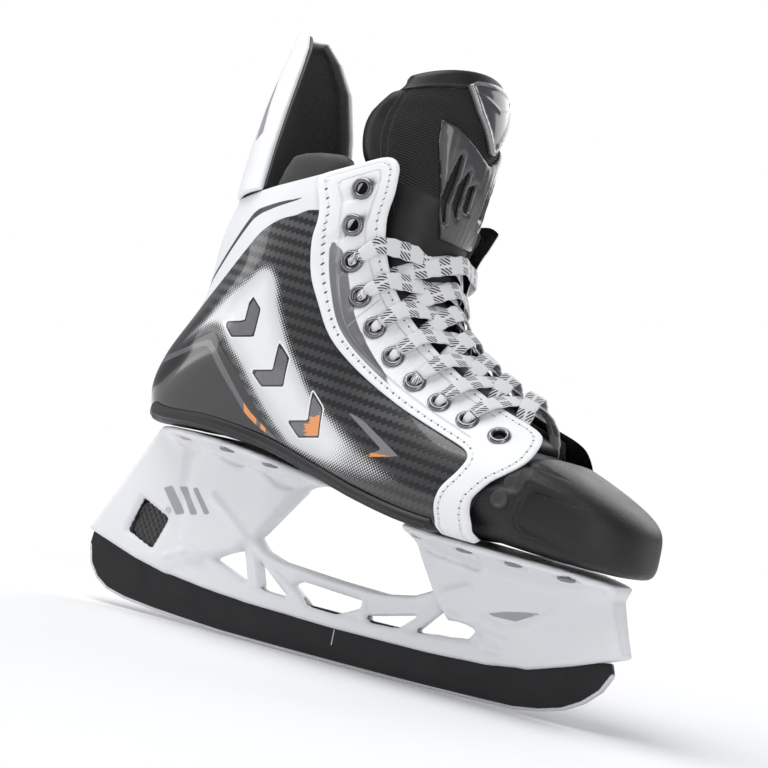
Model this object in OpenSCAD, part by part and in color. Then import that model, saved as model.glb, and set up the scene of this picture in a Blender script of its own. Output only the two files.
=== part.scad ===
// Ice hockey skate: moulded boot, lace closure, tongue, tendon guard,
// two-tower blade holder and a replaceable steel runner held by a trigger.
// X runs from heel to toe, Z is up, the ice is z = 0, the lateral side is -Y.

/* [Boot] */
// Wall of the composite boot shell
shell_wall = 2.6; // [1.8:0.2:3.4]
// Thickness of the foam liner
liner_wall = 3.6; // [2.5:0.1:4.2]
// Thickness of the outsole skin
outsole_wall = 2.2; // [1.5:0.1:2.4]
// Thickness of the eyelet facings
facing_wall = 2.2; // [1.6:0.1:2.6]
// Wall of the toe cap
toe_wall = 2.8; // [2:0.2:4]
// Tip of the toe cap
toe_tip = 149; // [145:1:152]

/* [Lacing] */
// Outer radius of an eyelet's rolled rim
eyelet_rim_r = 5.2; // [4.6:0.1:5.4]
// Radius of an eyelet's bore
eyelet_bore_r = 2.7; // [2.5:0.1:2.9]
// Radius of the lace, bunched up
lace_r = 1.6; // [1.2:0.1:1.8]

/* [Guard and tongue] */
// Height of the tendon guard's tip
guard_top = 292; // [288:1:294]
// Thickness of the tendon guard
guard_wall = 2.6; // [2:0.2:3.4]
// Thickness of the tongue's felt
tongue_wall = 6; // [4:0.5:7]

/* [Blade holder] */
// Thickness of the holder's truss rods
truss_w = 7; // [6:0.5:9]
// Thickness of the beam that grips the runner
beam_w = 9; // [8:0.5:10]
// Half width of the boot flanges
flange_half = 29; // [26:0.5:30]
// Thickness of a flange at its edge
flange_edge = 2.6; // [2:0.1:3.2]

/* [Runner] */
// Thickness of the steel
steel_w = 3; // [2.8:0.1:3.1]
// Radius of the rocker, the long curve of the glide edge
rocker_r = 2900; // [2400:50:3400]
// Half length of the flat in the middle of the glide edge
glide_flat = 14; // [8:1:16]

/* [Hidden] */

gap = 0.3;
fit_gap = 0.05;

// ---- curves through hand-set stations ------------------------------------
function pick(table, i) = table[max(0, min(len(table) - 1, i))];
function spline(a, b, c, d, u) =
    0.5 * (2 * b + (c - a) * u + (2 * a - 5 * b + 4 * c - d) * u * u
           + (3 * b - a - 3 * c + d) * u * u * u);
function along(table, s) =
    let (i = max(0, min(floor(s), len(table) - 2)))
    spline(pick(table, i - 1), pick(table, i), pick(table, i + 1),
           pick(table, i + 2), s - i);
function unit(v) = v / norm(v);
function smooth(x) = let (c = max(0, min(1, x))) c * c * (3 - 2 * c);

// Boot stations, toe to collar. Each is a plane section of the boot:
// throat edge x, z; sole or heel line x, z; bow of the section; half widths
// from the throat edge down to the flat of the sole.
STATIONS = [
    [110, 117,   98,   70,    0, 20,   34,   41.5, 42,   39.5, 30],
    [92, 122,    77,   71,    0, 20,   37,   44.5, 45,   42,   32],
    [68, 131,    52,   73,    0, 19.5, 37,   46.5, 47.5, 44,   33],
    [46, 143.5,  24,   77.5,  0, 22,   38,   46.5, 45.5, 40,   28],
    [28, 158,    -4,   84,    0, 26,   39,   46,   41.5, 35.5, 23],
    [17, 172,    -35,  91,    0, 30,   41,   45.5, 38,   32.5, 21],
    [11.5, 187,  -70,  94.8,  0, 34,   42.5, 45,   37,   32,   21],
    [10, 198,    -104, 94.8,  0, 36,   43.5, 43.5, 34,   27,   17],
    [10.5, 205,  -117, 101.5, 0, 37,   44,   42,   31,   20,   9],
    [12, 212,    -115, 118,   0, 37.5, 44,   42,   29.5, 18,   7],
    [12.5, 219,  -99, 149,    0, 38,   43.5, 42,   28,   16.5, 7],
    [12, 225,    -95, 182,   -2, 38,   43,   41.5, 28.5, 16.5, 7],
    [9, 231,     -88.5, 203, -4, 38,   42,   40,   28.5, 17,   7]];
LAST = len(STATIONS) - 1;
DEPTHS = [0, 0.3, 0.62, 0.88, 0.97, 1, 1];
EDGE = len(DEPTHS) - 1;

// The medial throat edge stands open, further forward than the lateral one.
function medial_shift(s) = smooth((s - 3.5) / 5) * [13, -14 * smooth((s - 8) / 4)];

// Point of the boot's surface: s counts stations, v runs from the lateral
// throat edge (-EDGE) under the sole (0) to the medial edge (+EDGE).
function boot_at(s, v, off = 0) =
    let (k = along(STATIONS, s),
         q = EDGE - abs(v),
         side = v < 0 ? -1 : 1,
         shift = v > 0 ? medial_shift(s) : [0, 0],
         top = [k[0], k[1]] + shift,
         low = [k[2], k[3]],
         widths = [k[5], k[6], k[7], k[8], k[9], k[10], 0],
         run = norm(low - top),
         depth = along(DEPTHS, q),
         w = along(widths, q) * (1 + off / k[7]),
         p = top + (low - top) * depth * (1 + off / run),
         bow = k[4] * 4 * depth * (1 - depth))
    [p[0], side * w, p[1] + bow];
function boot_grid(s0, s1, ns, v0, v1, nv, off) =
    [for (i = [0:ns]) [for (j = [0:nv])
        boot_at(s0 + (s1 - s0) * i / ns, v0 + (v1 - v0) * j / nv, off)]];
function boot_normal(s, v) =
    let (d = 0.02)
    unit(cross(boot_at(s + d, v) - boot_at(s - d, v),
               boot_at(s, v + d) - boot_at(s, v - d)));

// ---- solids from grids and rings -----------------------------------------
// Closed sheet between two grids of points; front's normals point outwards.
module sheet(front, back) {
    n = len(front);
    m = len(front[0]);
    half = n * m;
    points = concat([for (row = front) for (p = row) p],
                    [for (row = back) for (p = row) p]);
    faces = concat(
        [for (i = [0:n - 2]) for (j = [0:m - 2])
            let (a = i * m + j) each [[a, a + 1, a + m], [a + 1, a + m + 1, a + m]]],
        [for (i = [0:n - 2]) for (j = [0:m - 2])
            let (a = half + i * m + j)
            each [[a, a + m, a + 1], [a + 1, a + m, a + m + 1]]],
        [for (i = [0:n - 2]) for (j = [0, m - 1])
            let (a = i * m + j, b = a + m, c = a + half, d = b + half)
            each j == 0 ? [[a, b, c], [b, d, c]] : [[a, c, b], [b, c, d]]],
        [for (j = [0:m - 2]) for (i = [0, n - 1])
            let (a = i * m + j, b = a + 1, c = a + half, d = b + half)
            each i == 0 ? [[a, c, b], [b, c, d]] : [[a, b, c], [b, d, c]]]);
    polyhedron(points, faces);
}
// Closed tube through rings of equal length.
module rings(rows) {
    n = len(rows);
    m = len(rows[0]);
    polyhedron([for (row = rows) for (p = row) p],
        concat([[for (j = [0:m - 1]) m - 1 - j]],
               [[for (j = [0:m - 1]) (n - 1) * m + j]],
               [for (i = [0:n - 2]) for (j = [0:m - 1])
                   let (a = i * m + j, b = i * m + (j + 1) % m)
                   each [[a, b, a + m], [b, b + m, a + m]]]));
}
// Closed cup between two stacks of rings that share an open end at ring 0.
module cup(outer, inner) {
    n = len(outer);
    m = len(outer[0]);
    half = n * m;
    polyhedron(concat([for (row = outer) for (p = row) p],
                      [for (row = inner) for (p = row) p]),
        concat([[for (j = [0:m - 1]) (n - 1) * m + j]],
               [[for (j = [m - 1:-1:0]) half + (n - 1) * m + j]],
               [for (i = [0:n - 2]) for (j = [0:m - 1])
                   let (a = i * m + j, b = i * m + (j + 1) % m)
                   each [[a, b, a + m], [b, b + m, a + m],
                         [half + a, half + a + m, half + b],
                         [half + b, half + a + m, half + b + m]]],
               [for (j = [0:m - 1]) let (b = (j + 1) % m)
                   each [[j, half + j, b], [b, half + j, half + b]]]));
}
// Tube of radius r and n sides along a route of points.
module tube(route, r, n = 8) {
    last = len(route) - 1;
    rings([for (i = [0:last])
        let (t = unit(route[min(i + 1, last)] - route[max(i - 1, 0)]),
             side = unit(cross([0.13, 0.21, 1], t)),
             up = cross(t, side))
        [for (j = [0:n - 1]) route[i] + r * (cos(360 * j / n) * side
                                             + sin(360 * j / n) * up)]]);
}
// Side view outline, x and z, extruded to a width centred on y = 0.
module side(points, width) {
    translate([0, width / 2, 0]) rotate([90, 0, 0]) linear_extrude(width) polygon(points);
}
module toward(p, n) {
    translate(p) rotate([0, acos(n[2]), atan2(n[1], n[0])]) children();
}

// ---- boot ----------------------------------------------------------------
SHELL_V = EDGE - 0.75;
module boot_shell() {
    color([0.13, 0.13, 0.14])
    sheet(boot_grid(1, LAST, 34, SHELL_V, -SHELL_V, 34, 0),
          boot_grid(1, LAST, 34, SHELL_V, -SHELL_V, 34, -shell_wall));
}
module outsole() {
    color([0.2, 0.2, 0.21])
    sheet(boot_grid(1.45, 7.3, 20, 2.5, -2.5, 14, gap / 2 + outsole_wall),
          boot_grid(1.45, 7.3, 20, 2.5, -2.5, 14, gap / 2));
}
LINER_GLUE = 0.8;
module liner() {
    outer = -shell_wall - LINER_GLUE;
    edge = EDGE - 1;
    color([0.1, 0.1, 0.1])
    sheet(boot_grid(1.1, 11, 24, edge, -edge, 24, outer),
          boot_grid(1.1, 11, 24, edge, -edge, 24, outer - liner_wall));
}
module footbed() {
    under = -shell_wall - LINER_GLUE - liner_wall - gap;
    color([0.25, 0.25, 0.27])
    sheet(boot_grid(1.3, 7, 16, 1.2, -1.2, 8, under),
          boot_grid(1.3, 7, 16, 1.2, -1.2, 8, under - 3));
}
// Padded roll round the collar: it stands above the shell's rim.
COLLAR_STEPS = 24;
COLLAR_V = EDGE - 0.8;
function collar_top(x) = 229 + min(0, x + 34) * 0.1;
module collar_roll() {
    color([0.08, 0.08, 0.08])
    rings([for (i = [0:COLLAR_STEPS])
        let (v = COLLAR_V * (1 - 2 * i / COLLAR_STEPS),
             rim = boot_at(LAST, v, -shell_wall - gap),
             inner = boot_at(LAST, v, -shell_wall - 7),
             inward = unit(inner - rim),
             open = smooth((rim[0] + 57) / 9),
             top = rim[2] + (min(collar_top(rim[0]), rim[2] + 16) - rim[2]) * open - 1,
             low = rim[2] - 7)
        [for (j = [0:9]) let (a = 36 * j)
            [rim[0], rim[1], (top + low) / 2] + inward * 3.3 * (1 + cos(a))
                + [0, 0, (top - low) / 2 * sin(a)]]]);
}

// Toe cap: oval sections that close on the tip.
TOE_REAR = [[94, 114.5], [79, 71]];
TOE_SIDE = 43.4;
function toe_at(e, a, off = 0) =
    let (c = pow(cos(90 * e), 0.78),
         reach = sin(90 * e),
         x_mid = 86 + (toe_tip + off - 86) * reach,
         top_z = 114.5 - 19 * reach - 1.2 * reach * reach,
         low_z = 71 - 8.5 * reach,
         mid_z = (top_z + low_z) / 2 - 2 * reach,
         ca = cos(180 * a), sa = sin(180 * a),
         rise = (ca > 0 ? top_z - mid_z : mid_z - low_z) + off,
         flat = pow(cos(90 * e), 0.3),
         z = mid_z + rise * flat * sign(ca) * pow(abs(ca), 0.62),
         lean = (TOE_REAR[0][0] - TOE_REAR[1][0]) * (z - mid_z)
                / (TOE_REAR[0][1] - TOE_REAR[1][1]) * (1 - reach))
    [x_mid + lean, (TOE_SIDE + off) * c * pow(abs(sa), 0.62), z];
function toe_ring(e, off) = concat(
    [for (j = [0:14]) let (p = toe_at(e, j / 14, off)) [p[0], -p[1], p[2]]],
    [for (j = [13:-1:1]) toe_at(e, j / 14, off)]);
TOE_STEPS = 11;
function toe_rings(off, e0) =
    [for (i = [0:TOE_STEPS]) toe_ring(e0 + (0.985 - e0) * i / TOE_STEPS, off)];
PLUGS = [[98.5, 96], [95.5, 88.5]];
module toe_cap() {
    color([0.18, 0.18, 0.19])
    cup(toe_rings(0, 0), toe_rings(-toe_wall, 0));
}
module toe_cap_plugs() {
    color([0.28, 0.28, 0.28])
    for (side = [-1, 1]) for (p = PLUGS)
        translate([p[0], side * 40.4, p[1]]) rotate([side * -90, 0, side * -12])
            cylinder(h = 2.6, r = 3.9, $fn = 40);
}

// Eyelet facing, and the strap that runs down over the toe cap's joint.
// FACING_Q is how far the facing reaches down at each station.
FACING_Q = [1.2, 1.2, 1.15, 1.18, 1.21, 1.17, 1, 0.87, 0.84, 0.9, 1, 1.12, 1.22];
FACING_START = 0.45;
function facing_grid(side, off) =
    [for (i = [0:28]) [for (j = [0:6])
        let (s = FACING_START + (LAST - 0.05 - FACING_START) * i / 28,
             v = EDGE - along(FACING_Q, s) * (side < 0 ? j : 6 - j) / 6)
        boot_at(s, side * v, off)]];
// Strap edges, station against depth.
STRAP = [[0.45, 1.36, 0.9], [0.75, 1.4, 1.7], [0.9, 1.52, 2.2], [0.84, 1.5, 2.55],
         [0.7, 1.35, 3.1], [0.62, 1.25, 4], [0.6, 1.25, 4.9]];
function strap_grid(side, off) =
    [for (i = [0:4]) [for (j = [0:12])
        let (k = along(STRAP, (side < 0 ? j : 12 - j) / 2))
        boot_at(k[0] + (k[1] - k[0]) * i / 4, side * (EDGE - k[2]), off)]];
// Eyelets, station and depth, from the collar down to the toe.
EYELETS = [[10.3, 0.5], [8.3, 0.44], [6.4, 0.48], [5.35, 0.54], [4.5, 0.59],
           [3.75, 0.65], [3.1, 0.68], [2.5, 0.68], [1.9, 0.64], [1.25, 0.59]];
function eyelet_p(k, side) =
    boot_at(EYELETS[k][0], side * (EDGE - EYELETS[k][1]), gap + facing_wall);
function eyelet_n(k, side) = boot_normal(EYELETS[k][0], side * (EDGE - EYELETS[k][1]));
module eyelet_holes(side) {
    for (k = [0:len(EYELETS) - 1]) toward(eyelet_p(k, side), eyelet_n(k, side))
        translate([0, 0, -7]) cylinder(h = 12, r = eyelet_bore_r + 0.7, $fn = 32);
}
module facing(side) {
    color([0.93, 0.94, 0.95])
    difference() {
        union() {
            sheet(facing_grid(side, gap + facing_wall), facing_grid(side, gap));
            sheet(strap_grid(side, gap + facing_wall), strap_grid(side, gap));
        }
        eyelet_holes(side);
    }
}
module facing_lateral() { facing(-1); }
module facing_medial() { facing(1); }
EYELET_DEPTH = 2.9;
module eyelets(side) {
    tube_r = eyelet_bore_r + 0.6;
    color([0.3, 0.3, 0.32])
    for (k = [0:len(EYELETS) - 1]) toward(eyelet_p(k, side), eyelet_n(k, side))
        rotate_extrude($fn = 32)
            polygon([[eyelet_bore_r, -EYELET_DEPTH], [tube_r, -EYELET_DEPTH], [tube_r, 0.35],
                     [eyelet_rim_r, 0.35], [eyelet_rim_r - 0.3, 0.9],
                     [tube_r + 0.4, 1.25], [eyelet_bore_r + 0.3, 1],
                     [eyelet_bore_r, 0.5]]);
}
module eyelets_lateral() { eyelets(-1); }
module eyelets_medial() { eyelets(1); }

// ---- tongue --------------------------------------------------------------
// Spine x, z; half width; how far the sides wrap back.
TONGUE = [
    [93, 115.5, 15, 3], [75, 126, 17.5, 6], [54.5, 138.5, 20, 8], [37.5, 153, 23, 11],
    [27, 171, 26, 15], [26, 190, 29, 22], [29.5, 207, 31, 32], [32.5, 224, 33, 43],
    [34, 240, 35.5, 45], [34, 255, 36.5, 41], [32, 268, 34.5, 35], [28.5, 278, 30, 27]];
HINGE_U = 5.35;
TONGUE_END = len(TONGUE) - 1;
// u counts stations from the toe, v runs across from -1 to 1, off is inwards.
function tongue_at(u, v, off = 0) =
    let (k = along(TONGUE, u),
         d = along(TONGUE, min(TONGUE_END, u + 0.05)) - along(TONGUE, u - 0.05),
         t = unit([d[0], d[1]]),
         n = [t[1], -t[0]],
         sink = off + k[3] * (1 - cos(90 * v)))
    [k[0] - n[0] * sink, (k[2] - off * 0.85) * sin(90 * v), k[1] - n[1] * sink];
function tongue_grid(u0, u1, nu, nv, off) =
    [for (i = [0:nu]) [for (j = [0:nv])
        tongue_at(u0 + (u1 - u0) * i / nu, -1 + 2 * j / nv, off)]];
module tongue_part(u0, u1, nu) {
    sheet(tongue_grid(u0, u1, nu, 14, 0), tongue_grid(u0, u1, nu, 14, tongue_wall));
}
module tongue_lower() {
    color([0.1, 0.1, 0.11]) tongue_part(0, HINGE_U - 0.02, 10);
}
module tongue_upper() {
    color([0.1, 0.1, 0.11]) tongue_part(HINGE_U + 0.02, TONGUE_END, 12);
}
// Moulded rib insert and badge, thin plates that lie on the tongue.
module tongue_plate(u0, u1, v0, v1, thick) {
    front = [for (i = [0:8]) [for (j = [0:8])
        tongue_at(u0 + (u1 - u0) * i / 8, v0 + (v1 - v0) * j / 8, -gap - thick)]];
    back = [for (i = [0:8]) [for (j = [0:8])
        tongue_at(u0 + (u1 - u0) * i / 8, v0 + (v1 - v0) * j / 8, -gap)]];
    sheet(front, back);
}
module tongue_rib_insert() {
    color([0.25, 0.25, 0.26]) tongue_plate(HINGE_U + 0.1, 8.3, -0.42, 0.42, 1.8);
}
module tongue_badge() {
    color([0.4, 0.4, 0.42]) tongue_plate(8.45, 10.3, -0.3, 0.3, 2.2);
}

// ---- lace ----------------------------------------------------------------
// Each strand comes up through an eyelet, crosses over the tongue, dives
// under the other facing and comes up through the next eyelet.
ROW_TOP = 2;
ROW_END = len(EYELETS) - 1;
function lace_side(strand, k) = (strand + k) % 2 == 0 ? -1 : 1;
// How far the lower of two crossing runs stands off the throat, row by row.
LACE_LIFT = [0, 0, 13.5, 10.5, 8.5, 7.5, 7, 7, 7];
// Depth of the lace below the facing's face where it turns up into an eyelet.
LACE_UNDER = 6;
function lace_cross(k, strand) =
    let (s = (EYELETS[k][0] + EYELETS[k + 1][0]) / 2,
         a = boot_at(s, -EDGE), b = boot_at(s, EDGE),
         c = boot_at(s + 0.1, -EDGE) - boot_at(s - 0.1, -EDGE),
         t = unit([c[0], c[2]]),
         lift = LACE_LIFT[k] + ((k + strand) % 2 == 0 ? 0 : 3.6))
    [(a[0] + b[0]) / 2 + t[1] * lift, 0, (a[2] + b[2]) / 2 - t[0] * lift];
function lace_leg(k, strand) =
    let (side = lace_side(strand, k),
         p = eyelet_p(k, side), n = eyelet_n(k, side),
         q = eyelet_p(k + 1, -side), m = eyelet_n(k + 1, -side),
         rim = boot_at(EYELETS[k + 1][0], -side * EDGE, gap + facing_wall),
         mid = lace_cross(k, strand))
    [p - LACE_UNDER * n, p + 0.2 * n, p + 3.2 * n + 0.12 * (mid - p),
     (p + mid) / 2 + n * 2.2, mid, (mid + rim) / 2 + m * 0.5, rim - 4.6 * m,
     q - LACE_UNDER * m];
module lace_strand(strand) {
    tube([for (k = [ROW_TOP:ROW_END - 1]) each lace_leg(k, strand)], lace_r, 6);
}
module lace_strand_a() { color([0.95, 0.95, 0.95]) lace_strand(0); }
module lace_strand_b() { color([0.9, 0.9, 0.9]) lace_strand(1); }

// ---- tendon guard --------------------------------------------------------
// a runs round the heel from the lateral (-1) to the medial side (1),
// r rises from the collar rim (0) to the top (1).
// GUARD rows: height, back, front edge, half width.
GUARD = [[195, -90, -61, 38.5], [208, -90, -61, 38.5], [230, -89, -61, 35.5],
         [250, -87, -61.5, 31], [270, -84.5, -63, 24.5], [283, -83.5, -67, 17],
         [300, -83, -78, 4]];
GUARD_ROOT = 205;
function guard_row(z, column) = lookup(z, [for (g = GUARD) [g[0], g[column]]]);
function guard_plan(a, z, off) =
    let (back = guard_row(z, 1) - off, front = guard_row(z, 2))
    [front + (back - front) * cos(90 * a), (guard_row(z, 3) + off) * sin(90 * a)];
function rim_z(x) =
    let (k = STATIONS[LAST], f = (k[0] - x) / (k[0] - k[2]))
    k[1] + (k[3] - k[1]) * f + k[4] * 4 * f * (1 - f);
function guard_at(a, r, off) =
    let (low = rim_z(guard_plan(a, GUARD_ROOT, 0)[0]) + gap + 0.3,
         z = low + (guard_top - low) * r,
         p = guard_plan(a, z, off))
    [p[0], p[1], z];
function guard_grid(off, r0, r1, a1) =
    [for (i = [0:12]) [for (j = [0:20])
        guard_at(a1 * (1 - 2 * j / 20), r0 + (r1 - r0) * i / 12, off)]];
module tendon_guard() {
    color([0.92, 0.92, 0.93])
    sheet(guard_grid(0, 0, 1, 1), guard_grid(-guard_wall, 0, 1, 1));
}
module guard_lining() {
    color([0.09, 0.09, 0.09])
    sheet(guard_grid(-guard_wall - gap, 0.025, 0.98, 0.97),
          guard_grid(-guard_wall - 4, 0.025, 0.98, 0.97));
}

// ---- blade holder --------------------------------------------------------
// Top of the flanges, just under the outsole.
FLANGE_TOP = [[-108, 92.2], [-95, 92.4], [-75, 91.6], [-55, 89.8], [-35, 87.2], [-14, 82]];
FLANGE_FRONT_TOP = [[36, 70.5], [50, 69.8], [75, 68.2], [100, 66.8], [120, 65.6],
                    [139, 63.3]];
REAR_HALF = [9, 22, 24.5, 26, 27, 9];
FRONT_HALF = [15, 27, flange_half + 1, flange_half, 25, 11];
// Flange: flat on top, its underside drops from the edge to the tower wall.
module flange(tops, halves) {
    wall = 8;
    n = (len(tops) - 1) * 4;
    rows = [for (i = [0:n])
        let (s = i / 4, p = along(tops, s), h = along(halves, s))
        [p[0], p[1] - gap, h]];
    top = [for (p = rows) [for (y = [-1, -0.35, 0, 0.35, 1]) [p[0], y * p[2], p[1]]]];
    under = [for (p = rows) [for (y = [-1, -0.35, 0, 0.35, 1])
        let (drop = abs(y) == 1 ? flange_edge : flange_edge + (p[2] - wall) * 0.36)
        [p[0], abs(y) == 0.35 ? sign(y) * wall : y * p[2], p[1] - drop]]];
    sheet(top, under);
}
TRUSS = [[-96, 22], [-116, 26], [-146, 34.5], [-113, 84], [-24, 78], [-47, 50],
         [-40, 43.5], [-30, 40.5], [5, 38], [29, 37], [43, 39.5], [52, 44],
         [43, 62], [135, 62], [147, 34], [124, 26], [104, 20], [84, 17.2], [54, 16],
         [4, 16], [-46, 17.5], [-71, 19.2]];
TOWER_REAR = [[-96, 22], [-116, 26], [-146.5, 34.5], [-143, 40], [-112, 91.5], [-75, 90.8],
              [-22, 83.5], [-47, 50], [-58, 40], [-75, 34]];
TOWER_FRONT = [[62, 32], [78, 33], [84, 22], [104, 20], [124, 26], [147, 34], [137, 62.5],
               [100, 66], [40, 69.5], [43, 58], [52, 44]];
WINDOWS = [[[-69, 34], [-55, 44], [-48.5, 27]],
           [[-43.5, 37.5], [-39.5, 26], [-25.5, 25]],
           [[-22, 31], [-18, 33], [16, 30.8], [15, 27.5], [3, 22.8], [-11, 23.5]],
           [[20.5, 25], [23.5, 23], [38, 23.5], [46, 30.5]],
           [[47.5, 24], [59, 36.5], [75.5, 30.2], [73, 26.5]]];
TRIGGER_WINDOW = [[-122, 38], [-116, 55], [-99, 48], [-106, 32]];
TRIGGER_CAVITY = [[-127, 60], [-92, 58], [-89.5, 46], [-98, 29.5], [-128.5, 31.5]];
PIN = [-99, 52];
PIN_R = 1.5;
// End view of the towers: narrow at the beam, wider under the flange.
module tower_flare(x0, x1, top) {
    half = beam_w / 2;
    translate([x0, 0, 0]) rotate([90, 0, 90]) linear_extrude(x1 - x0)
        polygon([[-half, 0], [half, 0], [half, 22], [half + 1.8, 36], [half + 4.5, top],
                 [-half - 4.5, top], [-half - 1.8, 36], [-half, 22]]);
}
RUNNER_TOP = [[143.5, 32], [124, 25.6], [104, 19.6], [84, 16.8], [54, 15.6], [4, 15.6],
              [-46, 17.1], [-71, 18.8], [-96, 21.6], [-116, 25.6], [-145.5, 34]];
SLOT = [[148, 33], [128, 30], [128, 41.5], [114, 41.5], [114, 30], [84, 26.5], [54, 25.5],
        [4, 25.2], [-46, 25.6], [-76.5, 28], [-77.5, 43], [-94.5, 43], [-94.5, 31],
        [-118, 35], [-150, 38.5], [-150, 0], [150, 0]];
RIVETS_REAR = [[-62, 20], [-36, 20.5]];
RIVETS_FRONT = [[74, 23], [98, 23], [122, 20]];
SCREWS = [[-91, 14.5], [47, 17]];
RIVET_R = 2;
RIVET_SEAT = 5.2;
function flange_z(x) =
    x < 0 ? lookup(x, FLANGE_TOP) - gap : lookup(x, FLANGE_FRONT_TOP) - gap;
module at_fasteners(places) {
    for (p = places) for (m = [-1, 1]) translate([p[0], m * p[1], flange_z(p[0])]) children();
}
module blade_holder() {
    color([0.93, 0.94, 0.96])
    difference() {
        union() {
            intersection() { side(TOWER_REAR, 60); tower_flare(-150, 0, 92); }
            intersection() { side(TOWER_FRONT, 60); tower_flare(30, 150, 72); }
            difference() {
                side(TRUSS, truss_w);
                for (w = WINDOWS) side(w, 20);
            }
            intersection() {
                side(TRUSS, beam_w);
                side([[-150, 14], [150, 14], [150, 40], [124, 36], [84, 27], [74, 24.5],
                      [46, 22.5], [4, 21.5], [-46, 23.5], [-71, 27], [-96, 31], [-150, 40]],
                     beam_w);
            }
            flange(FLANGE_TOP, REAR_HALF);
            flange(FLANGE_FRONT_TOP, FRONT_HALF);
        }
        side(SLOT, steel_w + 0.3);
        side(TRIGGER_WINDOW, 40);
        side(TRIGGER_CAVITY, 8.4);
        translate([PIN[0], 0, PIN[1]]) rotate([90, 0, 0])
            cylinder(h = 40, r = PIN_R + fit_gap, center = true, $fn = 32);
        at_fasteners(concat(RIVETS_REAR, RIVETS_FRONT, SCREWS))
            translate([0, 0, -20]) cylinder(h = 30, r = RIVET_R + fit_gap, $fn = 24);
        at_fasteners(concat(RIVETS_REAR, RIVETS_FRONT, SCREWS))
            translate([0, 0, -20 - RIVET_SEAT + 2]) cylinder(h = 20, r = 4.8, $fn = 32);
    }
}
module rivet(head_r) {
    rotate_extrude($fn = 32)
        polygon([[0, -0.2], [RIVET_R, -0.2], [RIVET_R, -RIVET_SEAT + 1.9],
                 [head_r, -RIVET_SEAT + 1.9], [head_r - 0.3, -RIVET_SEAT + 0.9],
                 [head_r - 1.8, -RIVET_SEAT + 0.4], [0, -RIVET_SEAT + 0.4]]);
}
module rivets_front() { color([0.25, 0.25, 0.27]) at_fasteners(RIVETS_FRONT) rivet(4.1); }
module rivets_rear() { color([0.25, 0.25, 0.27]) at_fasteners(RIVETS_REAR) rivet(4.1); }
module screw() {
    difference() {
        rivet(3.8);
        translate([0, 0, -RIVET_SEAT]) cylinder(h = 2, r = 1.5, $fn = 6);
    }
}
module screws_rear() { color([0.7, 0.62, 0.55]) at_fasteners([SCREWS[0]]) screw(); }
module screws_front() { color([0.7, 0.62, 0.55]) at_fasteners([SCREWS[1]]) screw(); }

// ---- runner and its lock -------------------------------------------------
// Extra rise of the glide edge towards the heel, per millimetre.
HEEL_RISE = 0.03;
// Glide edge: a short flat, the rocker arc, then a quarter round at each end.
function rocker(x) = abs(x) <= glide_flat ? 0 : pow(abs(x) - glide_flat, 2) / (2 * rocker_r);
GLIDE = concat(
    [[-147, 26], [-144.5, 17.5], [-139, 11], [-131, 6.6], [-119, 4.2]],
    [for (x = [-100:10:-20]) [x, rocker(x) + max(0, -x - 60) * HEEL_RISE]],
    [[-glide_flat, 0], [glide_flat, 0]],
    [for (x = [20:10:100]) [x, rocker(x)]],
    [[112, 3], [123, 6], [132, 11], [139, 17.5], [143, 25]]);
RUNNER_HIDDEN = [[141, 30.5], [126.5, 27.5], [126.5, 38.5], [116, 38.5], [115, 27],
                 [84, 24.5], [54, 23.5], [4, 23.2], [-46, 23.8], [-79.5, 26.8],
                 [-79.5, 40.5], [-91, 40.5], [-91, 37], [-86, 36], [-86, 28.5],
                 [-118, 32.5], [-146, 35]];
module runner() {
    color([0.14, 0.14, 0.15]) side(concat(GLIDE, RUNNER_HIDDEN), steel_w);
}
TRIGGER = [[-121, 38], [-120, 52], [-112, 56.5], [-96.5, 56.5], [-94.5, 50], [-101, 41],
           [-103.5, 33.5], [-108, 31.5], [-118, 33]];
module lock_trigger() {
    color([0.07, 0.07, 0.07])
    difference() {
        side(TRIGGER, 7.6);
        translate([PIN[0], 0, PIN[1]]) rotate([90, 0, 0])
            cylinder(h = 40, r = PIN_R + fit_gap, center = true, $fn = 32);
    }
}
module trigger_pin() {
    color([0.6, 0.6, 0.62]) translate([PIN[0], 0, PIN[1]]) rotate([90, 0, 0])
        cylinder(h = 15, r = PIN_R, center = true, $fn = 32);
}
// Leaf spring that pushes the trigger home, clamped in the tower.
module trigger_spring() {
    color([0.6, 0.6, 0.62])
    side([[-91.2, 56.8], [-90.6, 56.8], [-91.6, 47], [-92.2, 47]], 5);
}

boot_shell();
outsole();
toe_cap();
toe_cap_plugs();
liner();
footbed();
collar_roll();
facing_lateral();
facing_medial();
eyelets_lateral();
eyelets_medial();
lace_strand_a();
lace_strand_b();
tongue_lower();
tongue_upper();
tongue_rib_insert();
tongue_badge();
tendon_guard();
guard_lining();
blade_holder();
rivets_front();
rivets_rear();
screws_front();
screws_rear();
lock_trigger();
trigger_pin();
trigger_spring();
runner();
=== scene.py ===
"""Ice hockey skate, right foot: a laced composite boot on a two-tower holder with a steel runner.

The file follows the skate from the boot shell down to the runner, one section for each piece.
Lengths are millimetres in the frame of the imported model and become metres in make_piece.
"""
import bpy
import numpy as np
from mathutils import Matrix
from mathutils.geometry import delaunay_2d_cdt


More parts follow.
